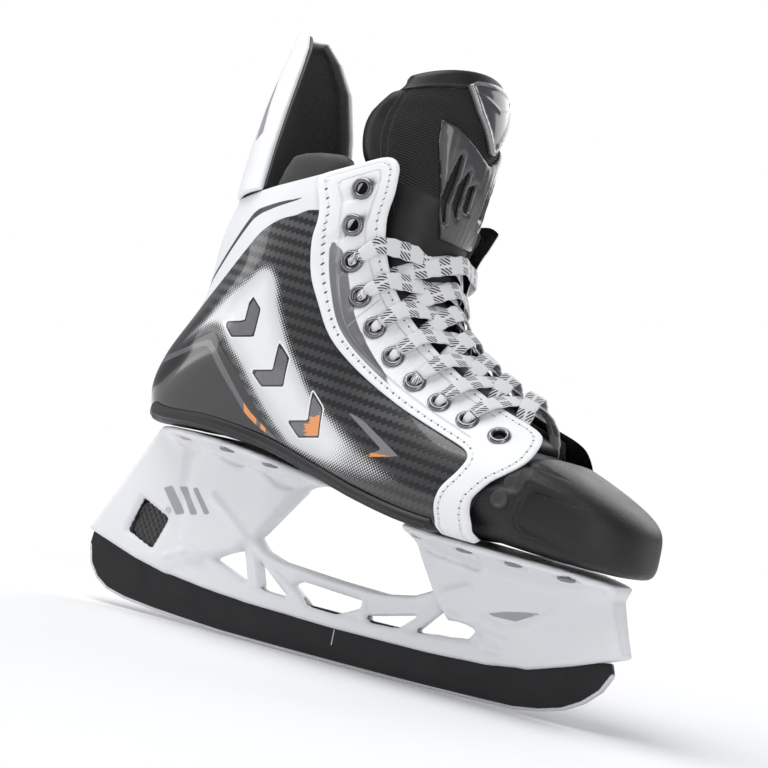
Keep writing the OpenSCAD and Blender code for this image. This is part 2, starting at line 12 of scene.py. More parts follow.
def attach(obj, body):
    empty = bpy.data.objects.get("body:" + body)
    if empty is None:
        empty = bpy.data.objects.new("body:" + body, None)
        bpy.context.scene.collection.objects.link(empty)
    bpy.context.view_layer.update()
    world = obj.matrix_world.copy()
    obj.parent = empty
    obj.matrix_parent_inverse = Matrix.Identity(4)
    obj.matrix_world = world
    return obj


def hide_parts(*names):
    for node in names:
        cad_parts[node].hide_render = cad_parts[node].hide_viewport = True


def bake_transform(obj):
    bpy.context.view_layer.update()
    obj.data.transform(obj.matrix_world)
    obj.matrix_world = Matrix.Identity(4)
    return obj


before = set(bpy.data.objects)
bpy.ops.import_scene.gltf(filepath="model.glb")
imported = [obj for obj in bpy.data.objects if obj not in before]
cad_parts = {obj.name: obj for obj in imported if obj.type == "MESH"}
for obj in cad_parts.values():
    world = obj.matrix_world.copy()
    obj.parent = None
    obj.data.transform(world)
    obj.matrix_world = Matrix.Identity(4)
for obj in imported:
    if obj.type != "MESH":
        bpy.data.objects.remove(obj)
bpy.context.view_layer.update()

# ---- Camera and lamps ----------------------------------------------------
# A low three-quarter view of the outer side with a long lens, tilted as if the skate leans
# forward, in a white studio under large soft lamps.
STAND_OFF = 0.85        # metres from the camera to the point it aims at
yaw, climb, roll = np.radians([31.5, -3, 11.5])
aim = np.array([3, 0, 130.5]) / 1000
back = np.array([np.sin(yaw) * np.cos(climb), -np.cos(yaw) * np.cos(climb), np.sin(climb)])
level = np.array([np.cos(yaw), np.sin(yaw), 0])
upright = np.cross(back, level)
right = level * np.cos(roll) + upright * np.sin(roll)
camera = bpy.data.objects.new("camera", bpy.data.cameras.new("camera"))
bpy.context.scene.collection.objects.link(camera)
pose = np.eye(4)
pose[:3, :3] = np.stack([right, np.cross(back, right), back], 1)
pose[:3, 3] = aim + back * STAND_OFF
camera.matrix_world = Matrix(pose.tolist())
camera.data.lens, camera.data.sensor_width, camera.data.clip_start = 86.06, 36, 0.05
bpy.context.scene.camera = camera
bpy.context.scene.view_settings.view_transform = "Standard"


def hang_lamp(name, place, target, size, watts):
    """Rectangular soft lamp at place, metres, facing target."""
    lamp = bpy.data.lights.new(name, "AREA")
    lamp.shape, lamp.size, lamp.size_y, lamp.energy = "RECTANGLE", size[0], size[1], watts
    made = bpy.data.objects.new(name, lamp)
    bpy.context.scene.collection.objects.link(made)
    away = np.array(place, float) - target
    away /= np.linalg.norm(away)
    side = np.cross([0, 0.01, 1], away)
    side /= np.linalg.norm(side)
    turned = np.eye(4)
    turned[:3, :3] = np.stack([side, np.cross(away, side), away], 1)
    turned[:3, 3] = place
    made.matrix_world = Matrix(turned.tolist())


hang_lamp("top_lamp", (-0.25, -0.35, 1.2), aim, (1.3, 0.8), 12.5)
hang_lamp("left_lamp", (-1.1, -0.6, 0.45), aim, (0.45, 1.2), 4.2)
hang_lamp("right_lamp", (1.0, -0.75, 0.4), aim, (0.35, 1.1), 3.5)
hang_lamp("rear_lamp", (0.1, 1.0, 0.7), aim, (1.4, 0.8), 6)
sky = bpy.data.worlds.new("studio")
bpy.context.scene.world = sky
sky.use_nodes = True
sky_nodes, sky_links = sky.node_tree.nodes, sky.node_tree.links
backdrop, fill = sky_nodes["Background"], sky_nodes.new("ShaderNodeBackground")
backdrop.inputs["Color"].default_value = (1, 1, 1, 1)
fill.inputs["Color"].default_value = (0.96, 0.98, 1, 1)
fill.inputs["Strength"].default_value = 0.3
seen_by, choose = sky_nodes.new("ShaderNodeLightPath"), sky_nodes.new("ShaderNodeMixShader")
sky_links.new(seen_by.outputs["Is Camera Ray"], choose.inputs[0])
sky_links.new(fill.outputs[0], choose.inputs[1])
sky_links.new(backdrop.outputs[0], choose.inputs[2])
sky_links.new(choose.outputs[0], sky_nodes["World Output"].inputs["Surface"])


# ---- Boot shell ----------------------------------------------------------
# The quarter package: one moulded composite shell, open along the throat and at the collar.
# Carbon twill on the upper side, printed panels over it, all under clear lacquer.
class Val:
    """A number, colour or vector in a finish: it wraps a socket, and operators add Math nodes."""

    def __init__(self, finish, socket):
        self.finish, self.socket = finish, socket

    def math(self, operation, *others):
        return self.finish.node("Math", self, *others, operation=operation)

    def __add__(self, other):
        return self.math("ADD", other)

    def __sub__(self, other):
        return self.math("SUBTRACT", other)

    def __rsub__(self, other):
        return self * -1 + other

    def __mul__(self, other):
        return self.math("MULTIPLY", other)

    def __truediv__(self, other):
        return self.math("DIVIDE", other)

    def __gt__(self, other):
        return self.math("GREATER_THAN", other)

    def __lt__(self, other):
        return self.math("LESS_THAN", other)

    __radd__, __rmul__ = __add__, __mul__

    def rise(self, low, high):
        """0 below low, 1 above high, an S curve between; it falls where low is above high."""
        return self.finish.node("MapRange", self, low, high, interpolation_type="SMOOTHSTEP")


class Finish:
    """A material on one Principled shader. Uniform values are set on its own sockets."""

    def __init__(self, name, colour, roughness, **uniform):
        self.material = bpy.data.materials.new(name)
        self.material.use_nodes = True
        self.tree = self.material.node_tree
        self.shader = self.tree.nodes["Principled BSDF"]
        self.feed(self.shader.inputs["Base Color"], colour)
        self.feed(self.shader.inputs["Roughness"], roughness)
        for key, value in uniform.items():
            self.feed(self.shader.inputs[key.replace("_", " ")], value)

    def feed(self, socket, value):
        if isinstance(value, Val):
            self.tree.links.new(value.socket, socket)
        elif socket.type == "RGBA":
            socket.default_value = (*value, 1)
        else:
            socket.default_value = value

    def node(self, kind, *values, out=0, named=None, **settings):
        """New node of that type: settings first, then values in the sockets' order or by name."""
        made = self.tree.nodes.new("ShaderNode" + kind)
        for key, value in settings.items():
            setattr(made, key, value)
        for socket, value in zip(made.inputs, values):
            self.feed(socket, value)
        for key, value in (named or {}).items():
            self.feed(made.inputs[key], value)
        return Val(self, made.outputs[out])

    def mix(self, share, low, high):
        """Colour that goes from low to high as share goes from 0 to 1."""
        made = self.node("Mix", share, data_type="RGBA", out=2)
        self.feed(made.socket.node.inputs[6], low)
        self.feed(made.socket.node.inputs[7], high)
        return made

    def place(self):
        return self.node("TexCoord", out="Object")

    def xyz(self):
        """Object coordinates as three numbers in millimetres."""
        parts = [self.node("SeparateXYZ", self.place(), out=k) for k in range(3)]
        return [part * 1000 for part in parts]

    def drawn(self, name):
        """A number that the mesh carries at each point."""
        return self.node("Attribute", attribute_name=name, out="Fac")

    def noise(self, scale, detail=2, vector=None):
        return self.node("TexNoise", named={"Vector": vector or self.place(), "Scale": scale,
                                            "Detail": detail})

    def cells(self, scale):
        """Rounded cells, as in a grained or knitted surface."""
        return self.node("TexVoronoi", named={"Vector": self.place(), "Scale": scale})

    def bump(self, *heights):
        """Feeds Normal from pairs of height and its depth in millimetres."""
        normal = None
        for height, depth in heights:
            named = {"Height": height, "Distance": depth / 1000, "Strength": 1.0}
            if normal:
                named["Normal"] = normal
            normal = self.node("Bump", named=named)
        self.feed(self.shader.inputs["Normal"], normal)

    def set(self, name, value):
        self.feed(self.shader.inputs[name], value)
        return self


def spline(a, b, c, d, u):
    """Catmull-Rom cubic from b to c."""
    return 0.5 * (2 * b + (c - a) * u + (2 * a - 5 * b + 4 * c - d) * u * u
                  + (3 * b - a - 3 * c + d) * u ** 3)


def along(table, s):
    """Catmull-Rom curve through the rows of table at the row numbers s."""
    table, s = np.asarray(table, float), np.asarray(s, float)
    i = np.clip(np.floor(s).astype(int), 0, len(table) - 2)
    rows = [table[np.clip(i + k, 0, len(table) - 1)] for k in (-1, 0, 1, 2)]
    u = (s - i)[..., None] if table.ndim > 1 else s - i
    return spline(*rows, u)


def across(values, q):
    """The same curve through the last axis of values, one q for each row."""
    i = np.clip(np.floor(q).astype(int), 0, values.shape[-1] - 2)
    rows = [np.take_along_axis(values, np.clip(i + k, 0, values.shape[-1] - 1)[..., None], -1)
            [..., 0] for k in (-1, 0, 1, 2)]
    return spline(*rows, q - i)


def smooth(x):
    c = np.clip(x, 0, 1)
    return c * c * (3 - 2 * c)


# Plane sections of the boot from toe to collar: throat edge x, z; sole or heel line x, z;
# bow; half widths from the throat edge down to the flat of the sole.
STATIONS = np.array([
    [110, 117, 98, 70, 0, 20, 34, 41.5, 42, 39.5, 30],
    [92, 122, 77, 71, 0, 20, 37, 44.5, 45, 42, 32],
    [68, 131, 52, 73, 0, 19.5, 37, 46.5, 47.5, 44, 33],
    [46, 143.5, 24, 77.5, 0, 22, 38, 46.5, 45.5, 40, 28],
    [28, 158, -4, 84, 0, 26, 39, 46, 41.5, 35.5, 23],
    [17, 172, -35, 91, 0, 30, 41, 45.5, 38, 32.5, 21],
    [11.5, 187, -70, 94.8, 0, 34, 42.5, 45, 37, 32, 21],
    [10, 198, -104, 94.8, 0, 36, 43.5, 43.5, 34, 27, 17],
    [10.5, 205, -117, 101.5, 0, 37, 44, 42, 31, 20, 9],
    [12, 212, -115, 118, 0, 37.5, 44, 42, 29.5, 18, 7],
    [12.5, 219, -99, 149, 0, 38, 43.5, 42, 28, 16.5, 7],
    [12, 225, -95, 182, -2, 38, 43, 41.5, 28.5, 16.5, 7],
    [9, 231, -88.5, 203, -4, 38, 42, 40, 28.5, 17, 7]])
DEPTHS = np.array([0, 0.3, 0.62, 0.88, 0.97, 1, 1])
EDGE, COLLAR = 6, 12


def boot_at(s, v, off=0.0):
    """Boot surface: s counts stations, v runs from the lateral throat edge (-6) under the sole
    (0) to the medial edge (6). Each section goes from its throat edge to its sole line by
    DEPTHS, widens by the half widths, and off moves it outwards."""
    s, v = np.broadcast_arrays(np.asarray(s, float), np.asarray(v, float))
    k = along(STATIONS, s)
    q = EDGE - np.abs(v)
    open_by = np.where(v > 0, smooth((s - 3.5) / 5), 0)
    top = k[..., 0:2] + np.stack([13 * open_by, -14 * open_by * smooth((s - 8) / 4)], -1)
    low = k[..., 2:4]
    depth = along(DEPTHS, q)
    wide = across(np.concatenate([k[..., 5:11], np.zeros_like(k[..., :1])], -1), q)
    run = np.linalg.norm(low - top, axis=-1)
    p = top + (low - top) * (depth * (1 + off / run))[..., None]
    bow = k[..., 4] * 4 * depth * (1 - depth)
    return np.stack([p[..., 0], np.sign(v) * wide * (1 + off / k[..., 7]), p[..., 1] + bow], -1)


def make_piece(name, points, faces, finish, body, node=(), slot=None, **drawn):
    """Object from points in millimetres and arrays of faces. A closed mesh is turned so that
    its faces point outwards. drawn holds numbers for each point, which the finish reads."""
    points = np.asarray(points, float).reshape(-1, 3)
    volume = sum(np.einsum("ij,ij->", points[f[:, 0]], np.cross(points[f[:, k]],
                                                                points[f[:, k + 1]]))
                 for f in faces for k in range(1, f.shape[1] - 1))
    if volume < 0:
        faces = [f[:, ::-1] for f in faces]
    mesh = bpy.data.meshes.new(name)
    mesh.from_pydata((points / 1000).tolist(), [], [q for f in faces for q in f.tolist()])
    for key, value in drawn.items():
        mesh.attributes.new(key, "FLOAT", "POINT").data.foreach_set(
            "value", np.ascontiguousarray(value, np.float32).ravel())
    mesh.shade_smooth()
    mesh.materials.append(finish.material)
    made = bpy.data.objects.new(name, mesh)
    bpy.context.scene.collection.objects.link(made)
    if node:
        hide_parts(*node)
    if isinstance(body, str):
        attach(made, body)
    return made


def net(n, m, start=0, closed=False):
    """Quads of an n by m grid of points; closed joins the last column to the first."""
    index = start + np.arange(n * m).reshape(n, m)
    if closed:
        index = np.concatenate([index, index[:, :1]], 1)
    return np.stack([index[:-1, :-1], index[:-1, 1:], index[1:, 1:], index[1:, :-1]],
                    -1).reshape(-1, 4)


def tube_faces(count, around):
    """Faces of a tube of count rings, with a flat face at each end."""
    ring = np.arange(around)[None]
    return [net(count, around, 0, True), ring, (count - 1) * around + ring[:, ::-1]]


def walled(front, inner):
    """Closed wall between two grids of points."""
    n, m = front.shape[:2]
    index = np.arange(n * m).reshape(n, m)
    rim = np.concatenate([index[0, :-1], index[:-1, -1], index[-1, :0:-1], index[:0:-1, 0]])
    after, half = np.roll(rim, -1), n * m
    faces = [net(n, m), net(n, m, half)[:, ::-1],
             np.stack([after, rim, half + rim, half + after], -1)]
    return np.concatenate([front.reshape(-1, 3), inner.reshape(-1, 3)]), faces


def grid(a, b):
    """Two grids of numbers: a down the rows, b along the columns."""
    return np.meshgrid(a, b, indexing="ij")


def circle(count):
    """Angles at an even pitch round a circle."""
    return np.arange(count) * 2 * np.pi / count


def steps(low, high, count):
    return np.linspace(low, high, count)


def inside(points, outline, round_by=0):
    """How far each point (x, z) lies inside a closed outline, in millimetres; outside is
    negative. round_by turns the outline into a curve with that many steps a side."""
    outline = np.asarray(outline, float)
    if round_by:
        ring = np.concatenate([outline[-1:], outline, outline[:2]])
        t = np.arange(len(outline) * round_by) / round_by + 1
        outline = along(ring, t)
    a, b = outline, np.roll(outline, -1, 0)
    reach = np.full(len(points), 1e9)
    crossed = np.zeros(len(points), bool)
    for p, q in zip(a, b):
        rel, edge = points - p, q - p
        t = np.clip(rel @ edge / max(edge @ edge, 1e-9), 0, 1)
        reach = np.minimum(reach, np.linalg.norm(rel - t[:, None] * edge, axis=1))
        straddles = (p[1] > points[:, 1]) != (q[1] > points[:, 1])
        with np.errstate(divide="ignore", invalid="ignore"):
            at = p[0] + (points[:, 1] - p[1]) / (q[1] - p[1]) * (q[0] - p[0])
        crossed ^= straddles & (points[:, 0] < at)
    return np.where(crossed, reach, -reach)


# Printed panels as outlines in the side view, x and z.
COLLAR_BAND = [[-20, 201], [-34, 197], [-43, 194], [-52, 188], [-60, 179], [-73, 165],
               [-86, 152], [-99, 138], [-130, 130], [-130, 260], [40, 260], [40, 201]]
COLLAR_LINE = [[-33, 205.5], [-45, 202.5], [-58, 198.5], [-61, 196.5], [-71, 184], [-84, 169],
               [-96, 155], [-95, 154], [-83, 167.5], [-70, 182], [-60, 193.5], [-55, 196.5],
               [-45, 200.5], [-33, 204.8]]
PRINT_BAND = [[-96, 125], [-88, 136], [-77, 146], [-66, 158], [-57, 166], [-50, 173],
              [-44, 175], [-38, 173], [-33, 166], [-30, 157], [-24, 146], [-18, 137],
              [-11, 129], [-5, 122], [2, 116], [9, 112], [22, 105], [38, 97], [53, 88],
              [49, 85], [36, 82], [21, 82], [7, 84], [-8, 88], [-18, 91], [-24, 95],
              [-31, 101], [-41, 112], [-50, 123], [-60, 132], [-65, 138], [-69, 139],
              [-78, 135]]
HEEL_PANEL = [[-130, 118], [-94, 126.5], [-78, 134.5], [-69, 138.5], [-65, 137.5], [-60, 132],
              [-50, 123], [-41, 112], [-31, 101], [-24, 95], [-31, 93], [-60, 95], [-99, 98],
              [-130, 98]]
HEEL_STRIPE = [[-130, 116], [-96, 126], [-80, 131.5], [-70, 134.5], [-66, 133], [-58, 124.5],
               [-48, 113], [-41, 105.5], [-30, 98.5], [-24, 95], [-31, 97], [-43, 103.5],
               [-51, 112], [-61, 122.5], [-67, 129.5], [-71, 131.5], [-80, 129], [-96, 123],
               [-130, 113]]
SWOOSH = [[12, 115], [25, 110], [46, 98], [27, 94.5], [37, 99.5]]
# Three chevrons along the printed band, in the place of a word.
CHEVRON = np.array([[-9, -9.5], [1, -9.5], [9.5, 0.5], [1, 10.5], [-9, 10.5], [-0.5, 0.5]])
CHEVRON_PLACES = [[-50, 145], [-28.5, 125], [-5, 105.5]]
band_way = np.array([[0.74, -0.67], [0.67, 0.74]])

SHELL_WALL = 2.6
s, v = grid(steps(1, COLLAR, 150), steps(EDGE - 0.75, 0.75 - EDGE, 200))
points, faces = walled(boot_at(s, v), boot_at(s, v, -SHELL_WALL))
side_view = points[:, [0, 2]]
chevrons = np.max([inside(side_view, CHEVRON @ band_way + place) for place in CHEVRON_PLACES], 0)

shell_finish = Finish("lacquered_composite", (0.02, 0.02, 0.02), 0.28, Coat_Weight=0.6,
                      Coat_Roughness=0.06)
f = shell_finish
x, y, z = f.xyz()
# Carbon twill: two tows over, two under, on a slant; each tow crowns a little.
TOW = 2.5
slant = np.radians(24)
warp = (x * np.cos(slant) + z * np.sin(slant)) / TOW
weft = (z * np.cos(slant) - x * np.sin(slant)) / (TOW * 0.62)
over = ((warp.math("FLOOR") + weft.math("FLOOR")) / 4).math("FRACT") < 0.5
warp_crown = (warp.math("FRACT") - 0.5).math("ABSOLUTE")
weft_crown = (weft.math("FRACT") - 0.5).math("ABSOLUTE")
crown = 1 - over * warp_crown - (1 - over) * weft_crown
cloth_shade = f.noise(18, 1).rise(0.35, 0.7)
twill_part = (x + z * 0.25).rise(-48, -20)
carbon = f.mix(over * twill_part, (0.008, 0.008, 0.009),
               f.mix(cloth_shade, (0.035, 0.036, 0.038), (0.1, 0.102, 0.106)))
# Halftone: dots on a slanted lattice that grow with the distance from the band's edge.
band = f.drawn("print_band")
LATTICE = 1.15
dot_u = ((x * 0.83 + z * 0.56) / LATTICE).math("FRACT") - 0.5
dot_v = ((z * 0.83 - x * 0.56) / LATTICE).math("FRACT") - 0.5
dot_r = (dot_u * dot_u + dot_v * dot_v).math("SQRT")
share = band.rise(-0.4, 9) * (1 - 0.62 * (x - z * 0.5).rise(-62, -18))
ink = (share * 0.95 - dot_r).rise(-0.06, 0.06) * (band > 0)
silver = f.mix(band.rise(0, 14), (0.55, 0.56, 0.58), (0.8, 0.81, 0.83))
colour = f.mix(ink, carbon, silver)
# Heel panel: gloss black with a grey stripe that carries orange dashes.
heel, stripe = f.drawn("heel_panel"), f.drawn("heel_stripe")
colour = f.mix(heel.rise(-0.1, 0.1), colour, (0.006, 0.006, 0.007))
ORANGE = (0.83, 0.3, 0.08)
dashes = ((x * 0.7 + 82) / 7).math("FRACT")
dash = (dashes > 0.25) * (x > -47) * (x < -31.5)
colour = f.mix(stripe.rise(-0.1, 0.1), colour, f.mix(dash, (0.11, 0.11, 0.12), ORANGE))
# Chevrons: white edge, black line, grey face with brushed orange.
mark = f.drawn("chevrons")
grain = f.noise(260, 4)
brushed = f.node("VectorMath", f.place(), (0.35, 1.0, 2.2), operation="MULTIPLY")
streak = f.noise(330, 3, brushed)
near_toe = ((x - 2) * (x - 2) + (z - 101) * (z - 101)).math("SQRT")
near_heel = ((x + 59) * (x + 59) + (z - 150) * (z - 150)).math("SQRT")
paint = (streak * 16 - near_toe + 0.5).rise(0, 0.5) + (streak * 9 - near_heel).rise(0, 0.5)
face = f.mix(paint.rise(0.3, 0.6), f.mix(grain, (0.11, 0.11, 0.12), (0.17, 0.17, 0.18)), ORANGE)
colour = f.mix(mark.rise(-0.75, -0.6), colour, (0.82, 0.83, 0.85))
colour = f.mix(mark.rise(-0.05, 0.05), colour, (0.008, 0.008, 0.009))
colour = f.mix(mark.rise(0.75, 0.85), colour, face)
swoosh = f.drawn("swoosh")
colour = f.mix(swoosh.rise(-0.1, 0.1), colour,
               f.mix((x > 28) * (z < 97.4), (0.2, 0.2, 0.21), ORANGE))
# Collar band: white synthetic leather with a thin dark line.
collar, line = f.drawn("collar_band"), f.drawn("collar_line")
colour = f.mix(collar.rise(-0.1, 0.1), colour, (0.76, 0.78, 0.8))
colour = f.mix(line.rise(-0.1, 0.1), colour, (0.04, 0.04, 0.045))
# Lower edge: satin dark grey with two moulded grooves.
down = f.drawn("down")
low_part = down.rise(4.35, 4.4) * (1 - collar.rise(-0.1, 0.1))
colour = f.mix(low_part, colour, (0.035, 0.035, 0.038))
groove = (down - 4.45).math("ABSOLUTE").rise(0.03, 0.0) + (down - 4.9).math("ABSOLUTE").rise(
    0.04, 0.0)
within = f.drawn("within").rise(0.3, 0.7)
bare = within.math("MAXIMUM", down.rise(0.83, 0.81))
f.set("Base Color", f.mix(bare, colour, (0.012, 0.012, 0.013)))
f.set("Roughness", 0.3 + collar.rise(0, 0.2) * 0.2 + f.noise(40, 3) * 0.06
      - heel.rise(0, 0.3) * 0.16 + within * 0.4)
f.set("Coat Weight", (0.7 - collar.rise(0, 0.2) * 0.6) * (1 - bare))
f.bump((crown * twill_part * (1 - ink), 0.05), (collar.rise(-0.5, 0.4), 0.35),
       (1 - groove, 0.5), (f.noise(900, 2), 0.015), (heel.rise(-0.6, 0.6), 0.25))
make_piece(
    "boot_shell_skin", points, faces, shell_finish, "boot", ("boot_shell",), "shell",
    print_band=inside(side_view, PRINT_BAND, 4), heel_panel=inside(side_view, HEEL_PANEL, 4),
    heel_stripe=inside(side_view, HEEL_STRIPE, 3), chevrons=chevrons,
    swoosh=inside(side_view, SWOOSH), collar_band=inside(side_view, COLLAR_BAND, 3),
    collar_line=inside(side_view, COLLAR_LINE), within=np.repeat([0.0, 1.0], v.size),
    down=np.tile((EDGE - np.abs(v)).ravel(), 2))


# ---- Outsole -------------------------------------------------------------
# A thin moulded skin under the shell, from the waist of the boot back round the heel. It is
# satin dark grey with a raised welt that follows its edge, and is bonded to the shell.
def rounded(distance, radius, least=0.12):
    """Height of a quarter-round edge, 0 to 1, at a distance from the edge."""
    c = 1 - np.clip(distance / radius, 0, 1)
    return np.maximum(np.sqrt(1 - c * c), least)


def edge_steps(low, high, count, crowd=2.2):
    """Values from low to high that crowd towards both ends."""
    t = steps(-1, 1, count)
    bent = np.sign(t) * (1 - (1 - np.abs(t)) ** crowd)
    return low + (high - low) * (bent + 1) / 2


def lengths(grid, axis):
    """Running length along one axis of a grid of points."""
    part = np.linalg.norm(np.diff(grid, axis=axis), axis=-1)
    start = np.zeros_like(np.take(part, [0], axis))
    return np.concatenate([start, np.cumsum(part, axis)], axis)


def to_rim(grid):
    """Distance of each grid point from the grid's own rim, along the grid lines."""
    a, b = lengths(grid, 0), lengths(grid, 1)
    return np.minimum.reduce([a, a[-1:] - a, b, b[:, -1:] - b])


s, v = grid(edge_steps(1.45, 7.3, 120), edge_steps(2.5, -2.5, 90))
flat = boot_at(s, v, 0.15)
rim = to_rim(flat)
welt = 0.7 * np.exp(-((rim - 5) / 1.6) ** 2) - 0.5 * np.exp(-((rim - 9) / 1.2) ** 2)
points, faces = walled(boot_at(s, v, 0.15 + 2.2 * rounded(rim, 1.6) + welt), flat)
f = outsole_finish = Finish("outsole_satin", (0.016, 0.016, 0.017), 0.4,
                            Specular_IOR_Level=0.4)
f.set("Base Color", f.mix(f.noise(60, 4), (0.01, 0.01, 0.011), (0.022, 0.022, 0.024)))
f.set("Roughness", 0.36 + f.noise(25, 3) * 0.16)
f.bump((f.noise(1100, 2), 0.03))
make_piece("outsole_skin", points, faces, outsole_finish, "boot", ("outsole",), "outsole")

# ---- Toe cap -------------------------------------------------------------
# One injection-moulded cup, fine grained, with a scooped recess on each side, two creases
# and a low seam round the bumper. The shell and facings are sewn over its rear edge.
TOE_TIP, TOE_SIDE, TOE_WALL = 149, 43.4, 2.8
SCOOP = [[108.5, 96.5], [105, 91], [102.6, 84], [102.6, 79], [106, 75.3], [114, 74.3],
         [150, 70], [156, 90], [126, 94]]
TOE_CREASES = [[[99, 107], [120, 101.5], [0.9, 0.2]], [[107, 96.8], [124, 93.5], [0.8, 0.2]]]


def toe_at(e, a, off=0.0):
    """Toe cap: oval sections that close on the tip. e goes from the rear rim to the tip, a
    round the oval from the top; each oval is a superellipse flattened below."""
    e, a = np.broadcast_arrays(np.asarray(e, float), np.asarray(a, float))
    narrow = np.cos(np.pi / 2 * e)
    reach = np.sin(np.pi / 2 * e)
    x_mid = 86 + (TOE_TIP + off - 86) * reach
    top_z = 114.5 - 19 * reach - 1.2 * reach ** 2
    low_z = 71 - 8.5 * reach
    mid_z = (top_z + low_z) / 2 - 2 * reach
    ca, sa = np.cos(np.pi * a), np.sin(np.pi * a)
    rise = np.where(ca > 0, top_z - mid_z, mid_z - low_z) + off
    z = mid_z + rise * narrow ** 0.3 * np.sign(ca) * np.abs(ca) ** 0.62
    lean = 15 * (z - mid_z) / 43.5 * (1 - reach)
    y = (TOE_SIDE + off) * narrow ** 0.78 * np.sign(sa) * np.abs(sa) ** 0.62
    return np.stack([x_mid + lean, y, z], -1)


def near_line(p, start, end):
    """Distance of points (x, z) from a line, and how far along it they are, 0 to 1."""
    start, end = np.array(start), np.array(end)
    t = np.clip((p - start) @ (end - start) / ((end - start) @ (end - start)), 0, 1)
    return np.linalg.norm(p - start - t[..., None] * (end - start), axis=-1), t


e, a = grid(1 - (1 - steps(0, 0.997, 150)) ** 1.6, steps(-1, 1, 201)[:-1])
skin = toe_at(e, a)
seen = skin[..., [0, 2]].reshape(-1, 2)
scoop = smooth(inside(seen, SCOOP, 4) / 1.5 + 0.4).reshape(e.shape)
scoop *= 1 - smooth((skin[..., 0] - 106) / 34)
sink = 2.6 * scoop * (np.abs(skin[..., 1]) > 8)
sink += 2.8 * smooth((106 - skin[..., 0]) / 7) * smooth((skin[..., 2] - 91) / 5)
for start, end, (first, last) in TOE_CREASES:
    gap_to, t = near_line(seen, start, end)
    width = first + (last - first) * t
    sink += (1.2 * (1 - t) * np.exp(-(gap_to / width) ** 2)).reshape(e.shape)
bumper = skin[..., 2] - (68.5 - 0.05 * (skin[..., 0] - 86))
sink += 0.3 * np.exp(-(bumper / 0.5) ** 2) * smooth((skin[..., 0] - 96) / 20)
front, behind = toe_at(e, a, -sink), toe_at(e, a, -TOE_WALL)
n, m = e.shape
tip = np.arange((n - 1) * m, n * m)[None]
ring = np.arange(m)
lip = np.stack([ring, n * m + ring, n * m + np.roll(ring, -1), np.roll(ring, -1)], -1)
faces = [net(n, m, 0, True), net(n, m, n * m, True)[:, ::-1], lip[:, ::-1], tip[:, ::-1],
         n * m + tip]
f = toe_finish = Finish("toe_cap_grain", (0.012, 0.012, 0.013), 0.45, Specular_IOR_Level=0.4)
pebble = f.cells(1500.0)
f.set("Base Color", f.mix(f.noise(30, 5), (0.008, 0.008, 0.009), (0.016, 0.016, 0.017)))
f.set("Roughness", 0.36 + f.noise(70, 4) * 0.16)
f.bump((pebble, 0.12), (f.noise(500, 3), 0.06))
make_piece("toe_cap_moulding", np.concatenate([front.reshape(-1, 3), behind.reshape(-1, 3)]),
           faces, toe_finish, "boot", ("toe_cap",), "toe_plastic")


# ---- Toe cap plugs -------------------------------------------------------
# Two round moulded plugs on each side of the toe cap, flush in a shallow ring groove.
def turned(profile, centres, axes, sides):
    """Closed or open profile of radius and height, turned about each axis at each centre."""
    profile, centres = np.asarray(profile, float), np.asarray(centres, float)
    axes = np.asarray(axes, float) / np.linalg.norm(axes, axis=-1, keepdims=True)
    helper = np.where(np.abs(axes[:, 2:]) > 0.9, [1.0, 0, 0], [0.0, 0, 1])
    side = np.cross(helper, axes)
    side /= np.linalg.norm(side, axis=-1, keepdims=True)
    other = np.cross(axes, side)
    turn = circle(sides)
    spoke = (np.cos(turn)[None, :, None] * side[:, None]
             + np.sin(turn)[None, :, None] * other[:, None])
    return (centres[:, None, None] + profile[None, :, 0, None, None] * spoke[:, None]
            + profile[None, :, 1, None, None] * axes[:, None, None])


def lathe_faces(count, rings, sides, loop):
    """Faces of count turned shapes; loop closes the profile on itself, otherwise each end of
    it is closed by a flat face."""
    index = np.arange(rings * sides).reshape(rings, sides)
    if loop:
        index = np.concatenate([index, index[:1]])
    index = np.concatenate([index, index[:, :1]], 1)
    quads = np.stack([index[:-1, :-1], index[1:, :-1], index[1:, 1:], index[:-1, 1:]],
                     -1).reshape(-1, 4)
    start = np.arange(count)[:, None, None] * rings * sides
    faces = [(start + quads).reshape(-1, 4)]
    if not loop:
        faces += [(start[:, 0] + np.arange(sides)), (start[:, 0] + (rings - 1) * sides
                                                     + np.arange(sides))[:, ::-1]]
    return faces


PLUG = [[3.9, -1.6], [3.9, 0.7], [3.6, 1.1], [2.9, 1.15], [2.6, 0.85], [0.05, 0.95]]
plug_at, plug_way = [], []
for side in (-1, 1):
    for x, z in ([98.5, 96], [95.5, 88.5]):
        near = np.abs(front[..., [0, 2]] - [x, z]).sum(-1) + 99 * (front[..., 1] * side < 0)
        spot = np.unravel_index(near.argmin(), near.shape)
        plug_at.append([x, front[spot][1] - side * 0.3, z])
        plug_way.append([0.16, side, 0.1])
rings = turned(PLUG, plug_at, plug_way, 40)
f = plug_finish = Finish("plug_plastic", (0.035, 0.035, 0.037), 0.4)
f.set("Roughness", 0.4 + f.noise(300, 3) * 0.15)
f.bump((f.noise(900, 2), 0.03))
make_piece("toe_cap_round_plugs", rings, lathe_faces(4, len(PLUG), 40, False),
           plug_finish, "boot", ("toe_cap_plugs",), "toe_plug")

